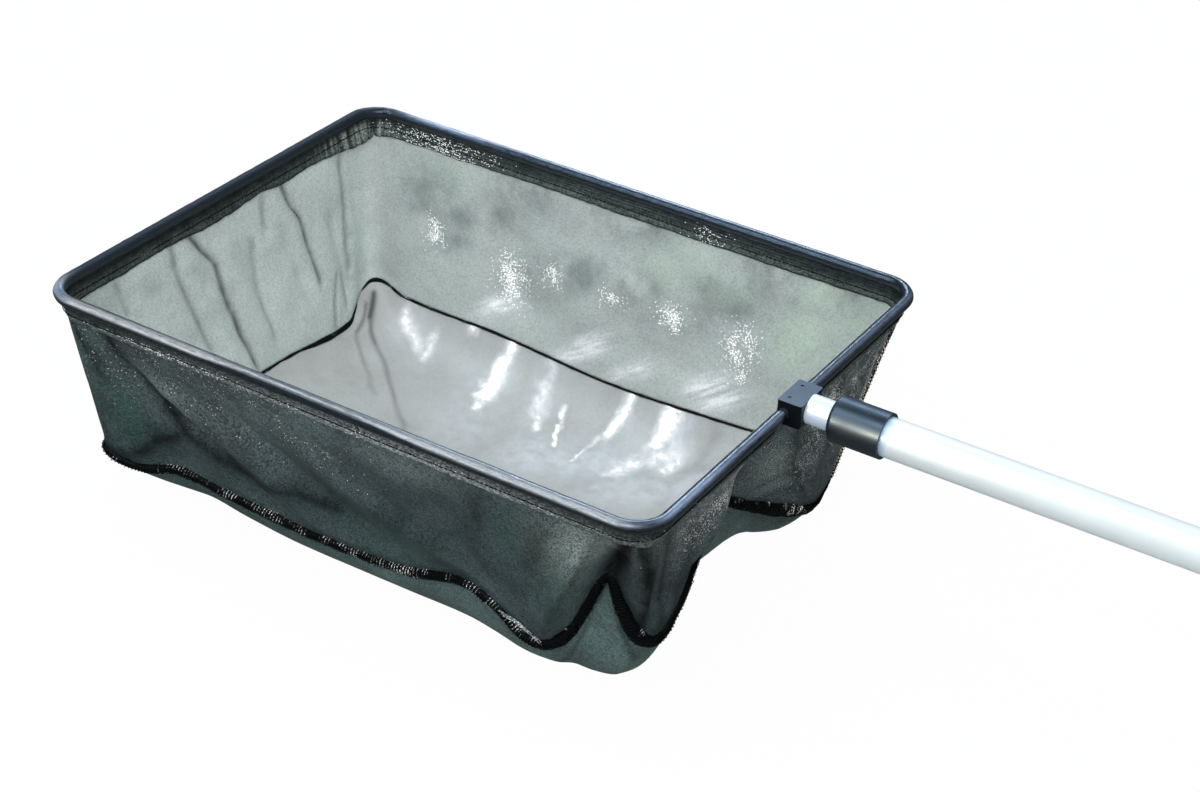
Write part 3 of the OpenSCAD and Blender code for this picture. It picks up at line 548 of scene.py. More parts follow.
def shaded(tree, base, level):
    return add_node(tree, "ShaderNodeVectorMath", {0: base, 1: level}, operation="MULTIPLY").outputs[0]


def ramp(tree, value, low, high, to_low=0.0, to_high=1.0):
    return add_node(tree, "ShaderNodeMapRange", {0: value, 1: low, 2: high, 3: to_low, 4: to_high}).outputs[0]


def noise_node(tree, vector, size, detail=3.0, roughness=0.5):
    """Noise with spots of about size metres."""
    return add_node(tree, "ShaderNodeTexNoise", {"Vector": vector, "Scale": 1 / size, "Detail": detail,
                                                 "Roughness": roughness}).outputs[0]


def attribute(tree, name):
    return add_node(tree, "ShaderNodeAttribute", attribute_name=name).outputs["Fac"]


def cloth_place(tree):
    return add_node(tree, "ShaderNodeUVMap", uv_map="cloth").outputs[0]


def part_place(tree):
    return add_node(tree, "ShaderNodeTexCoord").outputs["Object"]


def stretched(tree, place, scale):
    return add_node(tree, "ShaderNodeMapping", {"Vector": place, "Scale": scale}).outputs[0]


def axis(tree, vector, number):
    return add_node(tree, "ShaderNodeSeparateXYZ", {0: vector}).outputs[number]


def random_level(tree, cells):
    return add_node(tree, "ShaderNodeSeparateColor", {0: cells.outputs["Color"]}).outputs[0]


def bumps(tree, height, strength, distance):
    return add_node(tree, "ShaderNodeBump", {"Height": height, "Strength": strength,
                                             "Distance": distance}).outputs[0]


def cell_node(tree, vector, size, **settings):
    return add_node(tree, "ShaderNodeTexVoronoi", {"Vector": vector, "Scale": 1 / size, "Randomness": 1.0},
                    voronoi_dimensions="2D", **settings)


def glint_mask(tree, vector, size, density):
    """Painted glints: bright specks of thread, size metres wide, where density (0 to 1) is high."""
    cells = cell_node(tree, vector, size)
    pick = random_level(tree, cells)
    chosen = math_node(tree, "GREATER_THAN", plus(tree, pick, density), 1.0)
    near = ramp(tree, cells.outputs["Distance"], 0.46, 0.30)
    return times(tree, chosen, near)


def weave(tree, place):
    """The mesh's threads: height from 0 in a hole to 1 on a thread, and a random level per cell."""
    edges = cell_node(tree, place, MESH_SIZE, feature="DISTANCE_TO_EDGE")
    level = random_level(tree, cell_node(tree, place, MESH_SIZE))
    return ramp(tree, edges.outputs[0], 0.26, 0.10), level


def cloth_shader(tree, base, alpha, weave_of, grain, specks, shine, settings):
    """The mesh's shader: threads stand out a little, and the painted glints are never see-through and glow by
    shine.
    """
    thread, level = weave_of
    shade = ramp(tree, level, 0, 1, 1 - grain, 1 + grain)
    base = shaded(tree, base, shade)
    base = mix_colour(tree, specks, base, (0.98, 0.97, 0.95))
    alpha = math_node(tree, "MAXIMUM", alpha, specks)
    normal = bumps(tree, thread, 0.35, 0.2 * MM)
    principled(tree, {"Base Color": base, "Alpha": alpha, "Normal": normal,
                      "Emission Color": (1, 0.98, 0.96, 1), "Emission Strength": shine, **settings})


def open_share(tree, thread, cover, crease, crease_cover):
    """Alpha of the mesh: cover on average, more on the threads and where creases double the cloth."""
    mesh = ramp(tree, thread, 0, 1, cover - 0.12, cover + 0.12)
    return mix_value(tree, crease, mesh, crease_cover)


def inside_material():
    """Walls seen from inside the bag: the same mesh painted pale as if lit, with darker clouds, creases
    painted with shade and painted glints.
    """
    mat, tree = new_material("net_inside")
    place = cloth_place(tree)
    crease, cloud, green, glint = (attribute(tree, key) for key in ("crease", "cloud", "green", "glint"))
    threads = weave(tree, place)
    fine = noise_node(tree, place, 15 * MM, 5.0, 0.65)
    base = mix_colour(tree, ramp(tree, fine, 0.3, 0.7), (0.495, 0.545, 0.515), (0.535, 0.585, 0.553))
    # Painted light: the far end wall's inside is painted paler than the rest.
    base = mix_colour(tree, attribute(tree, "left"), base, (0.83, 0.94, 0.90))
    base = overlay(tree, base, times(tree, cloud, 1.15), (0.18, 0.215, 0.205))
    pale = times(tree, attribute(tree, "pale_cloud"), 0.75)
    base = overlay(tree, base, pale, (0.60, 0.73, 0.60))
    base = overlay(tree, base, times(tree, green, 0.6), (0.26, 0.36, 0.30))
    # The glint clusters are greyed, as a ground for their painted glints.
    base = overlay(tree, base, times(tree, glint, 0.40), (0.36, 0.36, 0.36))
    # Painted sheen: pale fans of fine lines on the far wall.
    fan = add_node(tree, "ShaderNodeMapping", {"Vector": place, "Rotation": (0, 0, 0.5),
                                               "Scale": (1, 1 / 7, 1)}, vector_type="TEXTURE").outputs[0]
    hair = ramp(tree, noise_node(tree, fan, 26 * MM, 2.0), 0.36, 0.60, 0.45, 1.5)
    base = overlay(tree, base, times(tree, attribute(tree, "painted_sheen"), hair), (1.0, 1.0, 1.0))
    # Creases painted darker as painted fold shade; their cloth is also more opaque, being doubled.
    base = overlay(tree, base, crease, (0.05, 0.06, 0.058))
    # Painted glints: white, opaque and glowing in the glint clusters.
    specks = glint_mask(tree, place, 0.85 * MM, glint)
    cover = open_share(tree, threads[0], 0.68, crease, 0.92)
    shine = times(tree, specks, 0.7)
    cloth_shader(tree, base, cover, threads, 0.14, specks, shine, {"Roughness": 0.5})
    return mat


def outside_material(name, dark, light, green, cover, grain, folds="crease"):
    """Mesh seen from outside the bag: the same cloth painted dark as if in shade, a little greener in
    patches, with fine painted glints.
    """
    mat, tree = new_material(name)
    place = cloth_place(tree)
    crease = attribute(tree, folds)
    threads = weave(tree, place)
    fine = noise_node(tree, place, 36 * MM, 3.0, 0.5)
    base = mix_colour(tree, ramp(tree, fine, 0.34, 0.68), dark, light)
    base = mix_colour(tree, attribute(tree, "green"), base, green)
    base = mix_colour(tree, attribute(tree, "brown"), base, (0.120, 0.117, 0.112))
    base = mix_colour(tree, attribute(tree, "pale"), base, (0.185, 0.218, 0.200))
    gritty = ramp(tree, noise_node(tree, place, 1.2 * MM, 1.0), 0.40, 0.60, 0.45, 1.75)
    gritty = mix_value(tree, attribute(tree, "grit"), 1.0, gritty)
    base = shaded(tree, base, gritty)
    # Creases and folds painted near black as painted shade.
    base = overlay(tree, base, crease, (0.002, 0.003, 0.003))
    # Painted glints: white and glowing, sparse on the walls and thick in the GLINTS_OUT patches.
    specks = glint_mask(tree, place, 0.62 * MM, attribute(tree, "glint_out"))
    specks = times(tree, specks, 0.8)
    shine = times(tree, specks, 0.35)
    see = open_share(tree, threads[0], cover, crease, 0.99)
    cloth_shader(tree, base, see, threads, grain, specks, shine,
                 {"Roughness": 0.5, "Specular IOR Level": 0.25})
    return mat


def bottom_material():
    """Bottom panel seen from above: pale, wet-looking mesh painted as if lit, with painted highlight streaks
    and hazes on its gathers and creases painted with shade.
    """
    mat, tree = new_material("bottom_inside")
    place = cloth_place(tree)
    crease, streak, haze = (attribute(tree, key) for key in ("crease", "streak", "haze"))
    threads = weave(tree, place)
    fine = noise_node(tree, place, 38 * MM, 4.0, 0.6)
    base = mix_colour(tree, ramp(tree, fine, 0.3, 0.7), (0.425, 0.435, 0.42), (0.515, 0.53, 0.52))
    # Painted highlight: the hazes turn the mesh paler and bluish.
    base = mix_colour(tree, times(tree, haze, 0.9, True), base, (0.70, 0.74, 0.79))
    # Creases painted darker as shade.
    base = overlay(tree, base, crease, (0.05, 0.055, 0.055))
    # Painted highlight streaks: white, opaque and glowing.
    rough = noise_node(tree, place, 5 * MM, 3.0, 0.6)
    level = times(tree, streak, ramp(tree, rough, 0.30, 0.60, 0.55, 1.25))
    white = ramp(tree, level, 0.10, 0.95)
    cover = mix_value(tree, white, open_share(tree, threads[0], 0.74, crease, 0.95), 1.0)
    shine = times(tree, ramp(tree, level, 0.55, 1.0), 0.45)
    cloth_shader(tree, base, cover, threads, 0.05, white, shine,
                 {"Roughness": 0.42, "Coat Weight": 0.15, "Coat Roughness": 0.25})
    return mat


def sleeve_material():
    """Mesh drawn tight over the rod: black and softly shining, with a painted grey highlight along its top,
    bluish except on the near side.
    """
    mat, tree = new_material("sleeve_cloth")
    place = cloth_place(tree)
    long = stretched(tree, place, (1, 7, 1))
    streaks = noise_node(tree, long, 9 * MM, 4.0, 0.7)
    grain = noise_node(tree, place, 0.9 * MM, 2.0, 0.6)
    both = plus(tree, times(tree, streaks, 0.7), times(tree, grain, 0.3))
    # Painted highlight: the silver attribute lays a grey, streaky highlight on the rod's top, in the colour
    # below.
    silver = times(tree, attribute(tree, "silver"), ramp(tree, both, 0.36, 0.62, 0.45, 1.1))
    base = mix_colour(tree, ramp(tree, streaks, 0.35, 0.7), (0.003, 0.004, 0.005), (0.012, 0.014, 0.018))
    highlight_paint = mix_colour(tree, attribute(tree, "blue"), (0.49, 0.49, 0.485), (0.30, 0.38, 0.52))
    base = overlay(tree, base, silver, highlight_paint)
    gloss = ramp(tree, streaks, 0.35, 0.65, 0.24, 0.38)
    gloss = plus(tree, gloss, times(tree, attribute(tree, "dull"), 0.35))
    normal = bumps(tree, both, 0.35, 0.10 * MM)
    principled(tree, {"Base Color": base, "Roughness": gloss, "Normal": normal, "IOR": 1.6,
                      "Specular IOR Level": 0.7, "Specular Tint": (0.62, 0.80, 1, 1)})
    return mat


def hem_material():
    """Flat plies of the hem: near-black above, thinner and grey-green below, with rows of thread."""
    mat, tree = new_material("hem_cloth")
    place = cloth_place(tree)
    drop = axis(tree, place, 1)
    wobble = noise_node(tree, place, 26 * MM, 2.0)
    rows = plus(tree, times(tree, drop, 2 * math.pi / (2.2 * MM)),
                     times(tree, wobble, 5.0))
    lines = ramp(tree, math_node(tree, "SINE", rows), 0.0, 1.0)
    patch = ramp(tree, noise_node(tree, place, 30 * MM, 3.0), 0.38, 0.62, 0.2, 1)
    show = times(tree, times(tree, lines, patch), attribute(tree, "lined"))
    smoke = ramp(tree, noise_node(tree, place, 10 * MM, 4.0, 0.65), 0.38, 0.68)
    threads, level = weave(tree, place)
    base = mix_colour(tree, smoke, (0.002, 0.004, 0.004), (0.014, 0.024, 0.022))
    grey = times(tree, attribute(tree, "grey"), ramp(tree, smoke, 0, 1, 0.5, 1))
    base = mix_colour(tree, grey, base, (0.036, 0.051, 0.047))
    low = attribute(tree, "low")
    base = overlay(tree, base, times(tree, low, ramp(tree, smoke, 0, 1, 0.6, 1)), (0.085, 0.107, 0.098))
    base = overlay(tree, base, show, (0.13, 0.145, 0.14))
    base = overlay(tree, base, attribute(tree, "thin"), (0.32, 0.37, 0.345))
    fibres = stretched(tree, place, (1, 2.2, 1))
    fibres = ramp(tree, noise_node(tree, fibres, 2.6 * MM, 3.0, 0.7), 0.40, 0.64)
    base = overlay(tree, base, times(tree, attribute(tree, "fray"), fibres), (0.34, 0.35, 0.35))
    shade = ramp(tree, level, 0, 1, 0.4, 1.6)
    base = shaded(tree, base, shade)
    # Painted glints along the rows of thread: white, opaque and glowing.
    dots = times(tree, attribute(tree, "glint"), ramp(tree, lines, 0, 1, 0.35, 1.0))
    flat = stretched(tree, place, (0.55, 1, 1))
    specks = glint_mask(tree, flat, 0.62 * MM, dots)
    base = mix_colour(tree, specks, base, (0.95, 0.95, 0.93))
    alpha = mix_value(tree, low, 0.985, ramp(tree, threads, 0, 1, 0.80, 0.97))
    alpha = math_node(tree, "MAXIMUM", alpha, specks)
    normal = bumps(tree, lines, 0.4, 0.3 * MM)
    principled(tree, {"Base Color": base, "Alpha": alpha, "Roughness": 0.6, "Normal": normal,
                      "Specular IOR Level": 0.2, "Emission Color": (1, 1, 1, 1),
                      "Emission Strength": times(tree, specks, 0.5)})
    return mat


def thread_material(name, colour, glint, bright=(0.80, 0.79, 0.77), clump=22, spread=0.6, shine=0.0):
    """Twisted polyester thread: black, with clumps of painted glints, which glow as strong as shine."""
    mat, tree = new_material(name)
    place = part_place(tree)
    grain = noise_node(tree, place, 0.8 * MM, 1.0)
    wide = math_node(tree, "SUBTRACT", noise_node(tree, place, clump * MM, 2.0), 0.5)
    level = plus(tree, attribute(tree, "glint"), times(tree, wide, spread))
    share = ramp(tree, level, 0.12 - glint, 0.30 - glint)
    share = times(tree, share, ramp(tree, grain, 0.50, 0.60))
    base = mix_colour(tree, share, colour, bright)
    normal = bumps(tree, grain, 0.3, 0.1 * MM)
    principled(tree, {"Base Color": base, "Roughness": 0.5, "Normal": normal, "Specular IOR Level": 0.12,
                      "Emission Color": (1, 1, 1, 1), "Emission Strength": times(tree, share, shine)})
    return mat


def plastic_material(name, colour, rough, grain_size=0.5, grain_depth=0.03, ior=1.5, level=0.5,
                     tint=(1, 1, 1), painted_sky_top=None):
    """Moulded plastic with a fine grain and slightly uneven gloss; a top colour, if given, is painted on
    upward faces as a painted reflection of the sky.
    """
    mat, tree = new_material(name)
    place = part_place(tree)
    fine = noise_node(tree, place, grain_size * MM, 2.0)
    wide = noise_node(tree, place, 18 * MM, 3.0)
    base = mix_colour(tree, ramp(tree, wide, 0.3, 0.7), colour, tuple(c * 1.35 + 0.002 for c in colour))
    # Painted reflection: upward faces turn to the paler top colour.
    if painted_sky_top:
        facing = add_node(tree, "ShaderNodeTexCoord").outputs["Normal"]
        upward = axis(tree, facing, 2)
        base = mix_colour(tree, ramp(tree, upward, 0.5, 0.9), base, painted_sky_top)
    gloss = ramp(tree, wide, 0.3, 0.7, rough * 0.85, rough * 1.15)
    normal = bumps(tree, fine, 0.3, grain_depth * MM)
    principled(tree, {"Base Color": base, "Roughness": gloss, "Normal": normal, "IOR": ior,
                      "Specular IOR Level": level, "Specular Tint": (*tint, 1)})
    return mat


def metal_material(name, colour, rough, metallic=1.0, brushed=1.0, shade=None):
    """Drawn tube or turned metal: fine lines along X, slightly uneven gloss.

    shade is where along X a bluish shade starts, how long it is and its colour.
    """
    mat, tree = new_material(name)
    place = part_place(tree)
    lines = stretched(tree, place, (3, 900, 900))
    drawn = noise_node(tree, lines, 1.0, 2.0)
    wide = noise_node(tree, place, 40 * MM, 3.0)
    base = mix_colour(tree, ramp(tree, wide, 0.3, 0.7), colour, tuple(c * 0.94 for c in colour))
    if shade:
        start, length, tint = shade
        along = axis(tree, place, 0)
        base = mix_colour(tree, ramp(tree, along, start, start + length), tint, base)
    gloss = ramp(tree, drawn, 0.3, 0.7, rough * 0.8, rough * 1.2)
    normal = bumps(tree, drawn, 0.12 * brushed, 0.02 * MM)
    principled(tree, {"Base Color": base, "Roughness": gloss, "Metallic": metallic, "Normal": normal})
    return mat


# ------------------------------------------------------------------ net walls
WALL_COLS = 700
WALL_ROWS = 52
HEM_V = 1 / 6

# Patches of the walls: place round, share of the height, spread round and down in mm, strength. SPARKLES and
# GLINTS_OUT place painted glints, the sheen fans painted sheen and PALES painted light on the outside's
# folds.
SPARKLES = [
    (0.3541, 0.58, 7, 8, 0.80), (0.3576, 0.52, 4, 5, 0.60), (0.3095, 0.63, 9, 10, 1.30),
    (0.3077, 0.69, 12, 12, 0.80), (0.3031, 0.76, 4, 6, 0.70), (0.2827, 0.57, 8, 7, 0.70),
    (0.2466, 0.55, 9, 5, 0.75), (0.2148, 0.55, 9, 7, 0.90), (0.2120, 0.60, 5, 5, 0.60),
    (0.1754, 0.60, 10, 11, 1.30), (0.1703, 0.72, 5, 7, 0.80)]
PAINTED_SHEEN_FANS = [
    (0.3158, 0.86, 16, 7, 0.80), (0.2547, 0.84, 15, 8, 1.10), (0.2643, 0.93, 16, 6, 0.80),
    (0.1853, 0.84, 15, 8, 1.1), (0.1755, 0.90, 16, 7, 0.90), (0.2250, 0.87, 14, 7, 0.60),
    (0.2350, 0.93, 10, 5, 0.60)]
GREENS = [
    (0.608, 0.35, 26, 60, 1.0), (0.626, 0.62, 16, 50, 1.0), (0.590, 0.20, 22, 40, 0.7),
    (0.860, 0.55, 24, 42, 0.9), (0.832, 0.42, 14, 30, 0.8), (0.700, 0.85, 60, 22, 0.5),
    (0.770, 0.80, 60, 26, 0.6), (0.110, 0.45, 30, 70, 0.5)]
CLOUDS = [
    (0.244, 0.14, 44, 16, 0.60), (0.172, 0.17, 30, 18, 0.65), (0.205, 0.53, 38, 14, 0.50),
    (0.187, 0.46, 30, 15, 0.50), (0.268, 0.50, 46, 14, 0.55), (0.232, 0.46, 36, 15, 0.45),
    (0.160, 0.24, 24, 18, 0.40), (0.166, 0.42, 18, 26, 0.40), (0.134, 0.16, 26, 16, 0.50),
    (0.358, 0.36, 26, 24, 0.50), (0.328, 0.40, 44, 14, 0.50), (0.305, 0.18, 36, 18, 0.50),
    (0.196, 0.36, 28, 18, 0.35), (0.340, 0.58, 30, 12, 0.30), (0.280, 0.62, 36, 14, 0.30)]
PALE_CLOUDS = [
    (0.190, 0.32, 20, 14, 0.50), (0.215, 0.27, 28, 16, 0.70), (0.149, 0.20, 18, 14, 0.80),
    (0.148, 0.44, 26, 22, 0.90), (0.132, 0.30, 20, 20, 0.50), (0.220, 0.33, 20, 14, 0.55),
    (0.158, 0.50, 16, 16, 0.60), (0.344, 0.20, 28, 14, 0.30)]
PALES = [
    (0.670, 0.35, 70, 30, 0.30), (0.720, 0.30, 60, 26, 0.20), (0.868, 0.26, 30, 34, 0.90),
    (0.785, 0.20, 40, 14, 0.35), (0.008, 0.62, 20, 30, 0.75), (0.112, 0.30, 12, 40, 0.35)]
BROWNS = [
    (0.934, 0.20, 38, 30, 0.90), (0.970, 0.22, 38, 32, 0.90), (0.050, 0.25, 26, 26, 0.90),
    (0.052, 0.62, 26, 34, 0.45), (0.088, 0.50, 14, 50, 0.40)]
GLINTS_OUT = [
    (0.042, 0.28, 14, 12, 0.50), (0.030, 0.50, 12, 26, 0.30), (0.090, 0.50, 6, 50, 0.45),
    (0.955, 0.30, 26, 14, 0.40), (0.985, 0.30, 14, 14, 0.70), (0.070, 0.35, 20, 30, 0.28),
    (0.930, 0.25, 20, 16, 0.25), (0.971, 0.22, 11, 8, 1.00), (0.026, 0.20, 7, 9, 0.90)]


def patches(u, h, spots, slope=0.0):
    total = np.zeros_like(u)
    for place, height, wide, high, strength in spots:
        along = way_round(u - place)
        d = np.hypot(along / (wide * MM), (h - height * BAG_DEPTH - slope * along) / (high * MM))
        total = np.maximum(total, strength * swell(d))
    return total


def wall_surface(u, v):
    """Middle surface of the wall: v is 0 at its top edge, HEM_V at the hem's lower edge, 1 in the seam."""
    near_block = np.abs(way_round(u)) < NOTCH
    top = np.where(near_block, BLOCK_HIGH.z, ROD_R) + CLOTH_GAP
    drop = top + (HEM_DEPTH - top) * np.clip(v / HEM_V, 0, 1)
    hem = hem_point(u, drop, np.zeros_like(drop))
    edge = hem_point(u, np.full_like(drop, HEM_DEPTH), np.zeros_like(drop))
    run = seam_point(u) - edge
    t = np.clip((v - HEM_V) / (1 - HEM_V), 0, 1)
    _, side = outline(u, 0.0, CORNER_R)
    tangent = np.stack([-side[..., 1], side[..., 0], np.zeros_like(u)], -1)
    out = unit(np.cross(unit(run), tangent))
    height = ease(t / 0.25) * ease((1 - t) / 0.12) * fold_height(u, t)
    point = hem + run * t[..., None] + out * height[..., None]
    return point, out, t


def build_walls(mats):
    u = np.linspace(0, 1, WALL_COLS, endpoint=False)
    v = np.linspace(0, 1, WALL_ROWS)
    uu, vv = np.meshgrid(u, v)
    point, out, t = wall_surface(uu, vv)
    s = uu * PERIMETER
    h = HEM_DEPTH + (BAG_DEPTH - HEM_DEPTH) * t
    free = ease(t / 0.12) * ease((1 - t) / 0.06)
    calm = 1 - 0.8 * swell(way_round(uu - 0.603) / (25 * MM)) - 0.7 * swell(way_round(uu - 0.935) / (45 * MM))
    crease = np.zeros_like(s)
    lift = np.zeros_like(s)
    wander = 1.4 * MM * from_noise(point, 19 * MM, 5, 2)
    for line, width, depth, dark in WALL_CREASES:
        close = near_line(s + wander, h, line, width * MM)
        # The wide line, set to one side of the crease, is painted shade on one flank of the fold.
        wide = near_line(s + wander - 0.7 * width * MM, h, line, 2.6 * width * MM)
        crease = np.maximum(crease, (0.75 * close**1.4 + 0.30 * wide) * dark)
        lift += close * depth * MM
    flat = np.stack([s, h, np.zeros_like(s)], -1)
    lift += calm * (1.5 * MM * from_noise(point, 42 * MM, 1) + 0.3 * MM * from_noise(point, 13 * MM, 2))
    point = point + out * (lift * free)[..., None]
    ragged = from_noise(flat, 7 * MM, 4)
    soft = from_noise(flat, 26 * MM, 6)
    crease = crease * np.clip(0.92 + 0.22 * ragged, 0.5, 1.1)
    # glint and glint_out place painted glints; left paints the far end's inside paler as light; pale paints
    # light on the outside's folds.
    values = {
        "crease": np.clip(crease, 0, 1),
        "glint": patches(uu, h, SPARKLES) * np.clip(0.6 + 1.1 * ragged, 0, 1.3),
        "cloud": np.clip(patches(uu, h, CLOUDS, 0.25) * (0.9 + 1.3 * soft + 0.5 * ragged), 0, 0.65),
        "pale_cloud": np.clip(patches(uu, h, PALE_CLOUDS, 0.25) * (1 + 0.8 * soft), 0, 1),
        "green": np.clip(patches(uu, h, GREENS) * (0.9 + 0.4 * soft), 0, 1),
        "left": 0.9 * ease((0.115 - np.abs(uu - 0.5)) / 0.02),
        "pale": np.clip(patches(uu, h, PALES) * (1 + 0.35 * soft), 0, 1),
        "grit": 0.30 + 0.70 * ease((0.118 - np.abs(way_round(uu)) / PERIMETER) / 0.02),
        "brown": np.clip(patches(uu, h, BROWNS) * (1 + 0.6 * soft), 0, 1),
        "painted_sheen": patches(uu, h, PAINTED_SHEEN_FANS, 0.42),
        "glint_out": (np.clip(0.01 + 0.07 * ragged, 0, 1) * ease((0.62 - t) / 0.5)
                      * ease((0.80 - uu) / 0.08)
                      + patches(uu, h, GLINTS_OUT) * np.clip(0.7 + 1.2 * ragged, 0, 1.4)),
    }
    return cloth_shell("net_walls", point, np.stack([s, h], -1), (mats["net_out"], mats["net_in"]), values)


# ------------------------------------------------------------------ net bottom
BOTTOM_ROWS = 90
DROP_SHARE = 0.075

# Lines on the bottom: from and to in mm from the hoop's middle, half width in mm, strength. The creases are
# painted shade, the streaks and hazes painted highlights.
BOTTOM_CREASES = [
    ((-192, 132), (-184, 114), 2.2, 1.0), ((-184, 114), (-164, 97), 1.7, 0.75),
    ((-164, 97), (-116, 55), 1.9, 0.50), ((-116, 55), (-93, 34), 2.4, 0.38),
    ((-192, 122), (-182, 98), 1.7, 0.7), ((-182, 98), (-157, 73), 1.6, 0.45),
    ((-157, 73), (-132, 52), 2.2, 0.28), ((110, 120), (70, 90), 6.0, 0.25),
    ((104, 132), (96, 100), 5.0, 0.25)]
STREAKS = [
    ((-66, 141), (-74, 126), 5.0, 0.85), ((-74, 126), (-73, 106), 7.0, 1.05),
    ((-73, 106), (-70, 92), 3.5, 0.8), ((-42, 140), (-32, 132), 5.0, 0.35),
    ((-34, 126), (-26, 108), 7.0, 0.42), ((-28, 108), (-20, 94), 3.5, 0.75),
    ((-14, 122), (-6, 104), 2.4, 0.6), ((-9, 106), (1, 85), 1.9, 1.0), ((33, 136), (27, 114), 4.2, 1.0),
    ((23, 112), (21, 96), 2.6, 0.5), ((21, 95), (22, 76), 1.8, 0.7), ((72, 140), (63, 122), 6.5, 1.0),
    ((85, 116), (83, 103), 5.5, 0.65), ((-162, 130), (-140, 116), 5.5, 0.55),
    ((-134, 128), (-131, 110), 4.5, 0.50), ((-190, 145), (-176, 142), 2.6, 0.9),
    ((-172, 142), (-156, 138), 2.4, 0.7), ((-108, 136), (-101, 137), 2.6, 0.9),
    ((54, 84), (62, 104), 9.0, 0.55), ((62, 104), (80, 118), 9.0, 0.50)]
HAZES = [
    ((-5, 66), (60, 92), 26, 0.8), ((60, 60), (110, 96), 24, 0.6), ((-80, 110), (-60, 60), 22, 0.4),
    ((-70, 130), (-72, 96), 12, 0.6), ((-36, 134), (-24, 96), 12, 0.5), ((34, 130), (24, 90), 9, 0.5),
    ((74, 136), (80, 100), 16, 0.8), ((-160, 124), (-135, 112), 14, 0.4)]

# Folds seen on the bottom's outside, painted as shade: places round and distances in from the seam as shares
# of the bag's depth, half width in mm and how dark they are painted.
SKIRT_FOLDS = [
    ([(0.882, 0.00), (0.874, 0.20), (0.862, 0.42)], 5.0, 0.55),
    ([(0.862, 0.02), (0.872, 0.05), (0.881, 0.02)], 9.0, 0.50),
    ([(0.889, 0.02), (0.893, 0.12), (0.905, 0.16)], 6.0, 0.65),
    ([(0.640, 0.00), (0.720, 0.03), (0.800, 0.00)], 6.0, 0.35),
    ([(0.000, 0.04), (0.030, 0.08), (0.070, 0.05)], 7.0, 0.45),
    ([(0.990, 0.05), (0.975, 0.20), (0.955, 0.30)], 9.0, 0.35)]


def sag_share(x, y):
    """Share of the bottom's sag: full over the middle, least behind the block and in its far corner."""
    from_end = ease((x + HALF_L) / (0.75 * HALF_L))
    at_pole = ease((x / HALF_L - 0.40) / 0.35)
    ridge = 0.75 * swell((y - 20 * MM) / (45 * MM)) + 0.6 * ease((y / HALF_W - 0.55) / 0.3)
    return (0.35 + 0.65 * from_end) * (1 - np.minimum(ridge, 0.8) * at_pole)


def close_to(x, y, lines):
    total = np.zeros_like(x)
    for (ax, ay), (bx, by), width, strength in lines:
        dx, dy = bx - ax, by - ay
        t = np.clip(((x / MM - ax) * dx + (y / MM - ay) * dy) / (dx * dx + dy * dy), 0, 1)
        d = np.hypot(x / MM - ax - t * dx, y / MM - ay - t * dy)
        total = np.maximum(total, strength * swell(d / width))
    return total


def build_bottom(mats):
    u = np.linspace(0, 1, WALL_COLS, endpoint=False)
    w = np.linspace(0, 1, BOTTOM_ROWS) ** 1.3 * 0.997
    uu, ww = np.meshgrid(u, w)
    seam = seam_point(uu)
    x = (seam[..., 0] - HOOP_X) * (1 - ww)
    y = seam[..., 1] * (1 - ww)
    settle = 1 - np.exp(-ww / DROP_SHARE)
    z = seam[..., 2] * (1 - settle) - (BAG_DEPTH + BOTTOM_SAG * sag_share(x, y)) * settle
    point = np.stack([x + HOOP_X, y, z], -1)
    # Gathers that run in from the long seams, as the panel's edge is eased onto the walls.
    ripple = np.zeros_like(x)
    for side, phase, height in ((1, 0.4, 1.8 * MM), (-1, 2.1, 0.5 * MM)):
        edge = HALF_W - BAG_INSET - side * y
        wander = 9 * MM * np.sin(x / (61 * MM) + phase)
        wave = np.sin(2 * np.pi * (x + 0.28 * edge + wander) / (41 * MM) + phase)
        shape = np.sign(wave) * np.abs(wave) ** 1.4
        ripple += height * shape * np.exp(-edge / (52 * MM)) * ease(edge / (14 * MM))
    step = np.linalg.norm(np.diff(point, axis=0), axis=-1)
    inward = np.concatenate([np.zeros((1, WALL_COLS)), np.cumsum(step, axis=0)])
    away = unit(seam[..., :2] - (HOOP_X, 0))
    flat = np.stack([x, y, np.zeros_like(x)], -1)
    astray = 1.7 * MM * from_noise(flat, 26 * MM, 10, 2)
    crease = close_to(x + astray, y + astray, BOTTOM_CREASES)
    ragged = from_noise(flat, 9 * MM, 9)
    lift = 1.5 * MM * from_noise(flat, 60 * MM, 7) + 0.7 * MM * from_noise(flat, 19 * MM, 8)
    calm = 1 - 0.9 * ease((-y / HALF_W - 0.45) / 0.25)
    point[..., 2] += (ripple + lift * ease(ww / 0.08)) * calm + 2.0 * MM * crease * ease(ww / 0.08)
    streak = close_to(x + 2 * MM * ragged, y, STREAKS)
    skirt = np.zeros_like(x)
    for line, width, dark in SKIRT_FOLDS:
        skirt = np.maximum(skirt, dark * near_line(uu * PERIMETER, inward, line, width * MM))
    skirt = np.clip(skirt * (1 + 0.3 * ragged), 0, 1)
    values = {"crease": crease, "skirt": skirt, "streak": np.clip(streak * (1.0 + 0.5 * ragged), 0, 1),
              "haze": np.clip(close_to(x, y, HAZES) * (1 + 0.8 * ragged), 0, 1),
              "green": 0.7 * ease((0.1 - x / HALF_L) / 0.6), "glint_out": 0 * x, "brown": 0 * x,
              "pale": 0 * x, "grit": 0.30 + 0 * x}
    return cloth_shell("net_bottom", point, away * (inward[-1] - inward)[..., None],
                       (mats["bottom_out"], mats["bottom_in"]), values)


# ------------------------------------------------------------------ rod sleeve and hem
SLEEVE_COLS = 1100
HEM_ROWS = 7
ROUND_ROD = 22
# Gathers of the hem at the corners: place round, spread in mm, height in mm.
GATHERS = [(0.392, 24, 1.6), (0.608, 16, 1.0), (0.108, 14, 0.9), (0.892, 16, 1.0)]


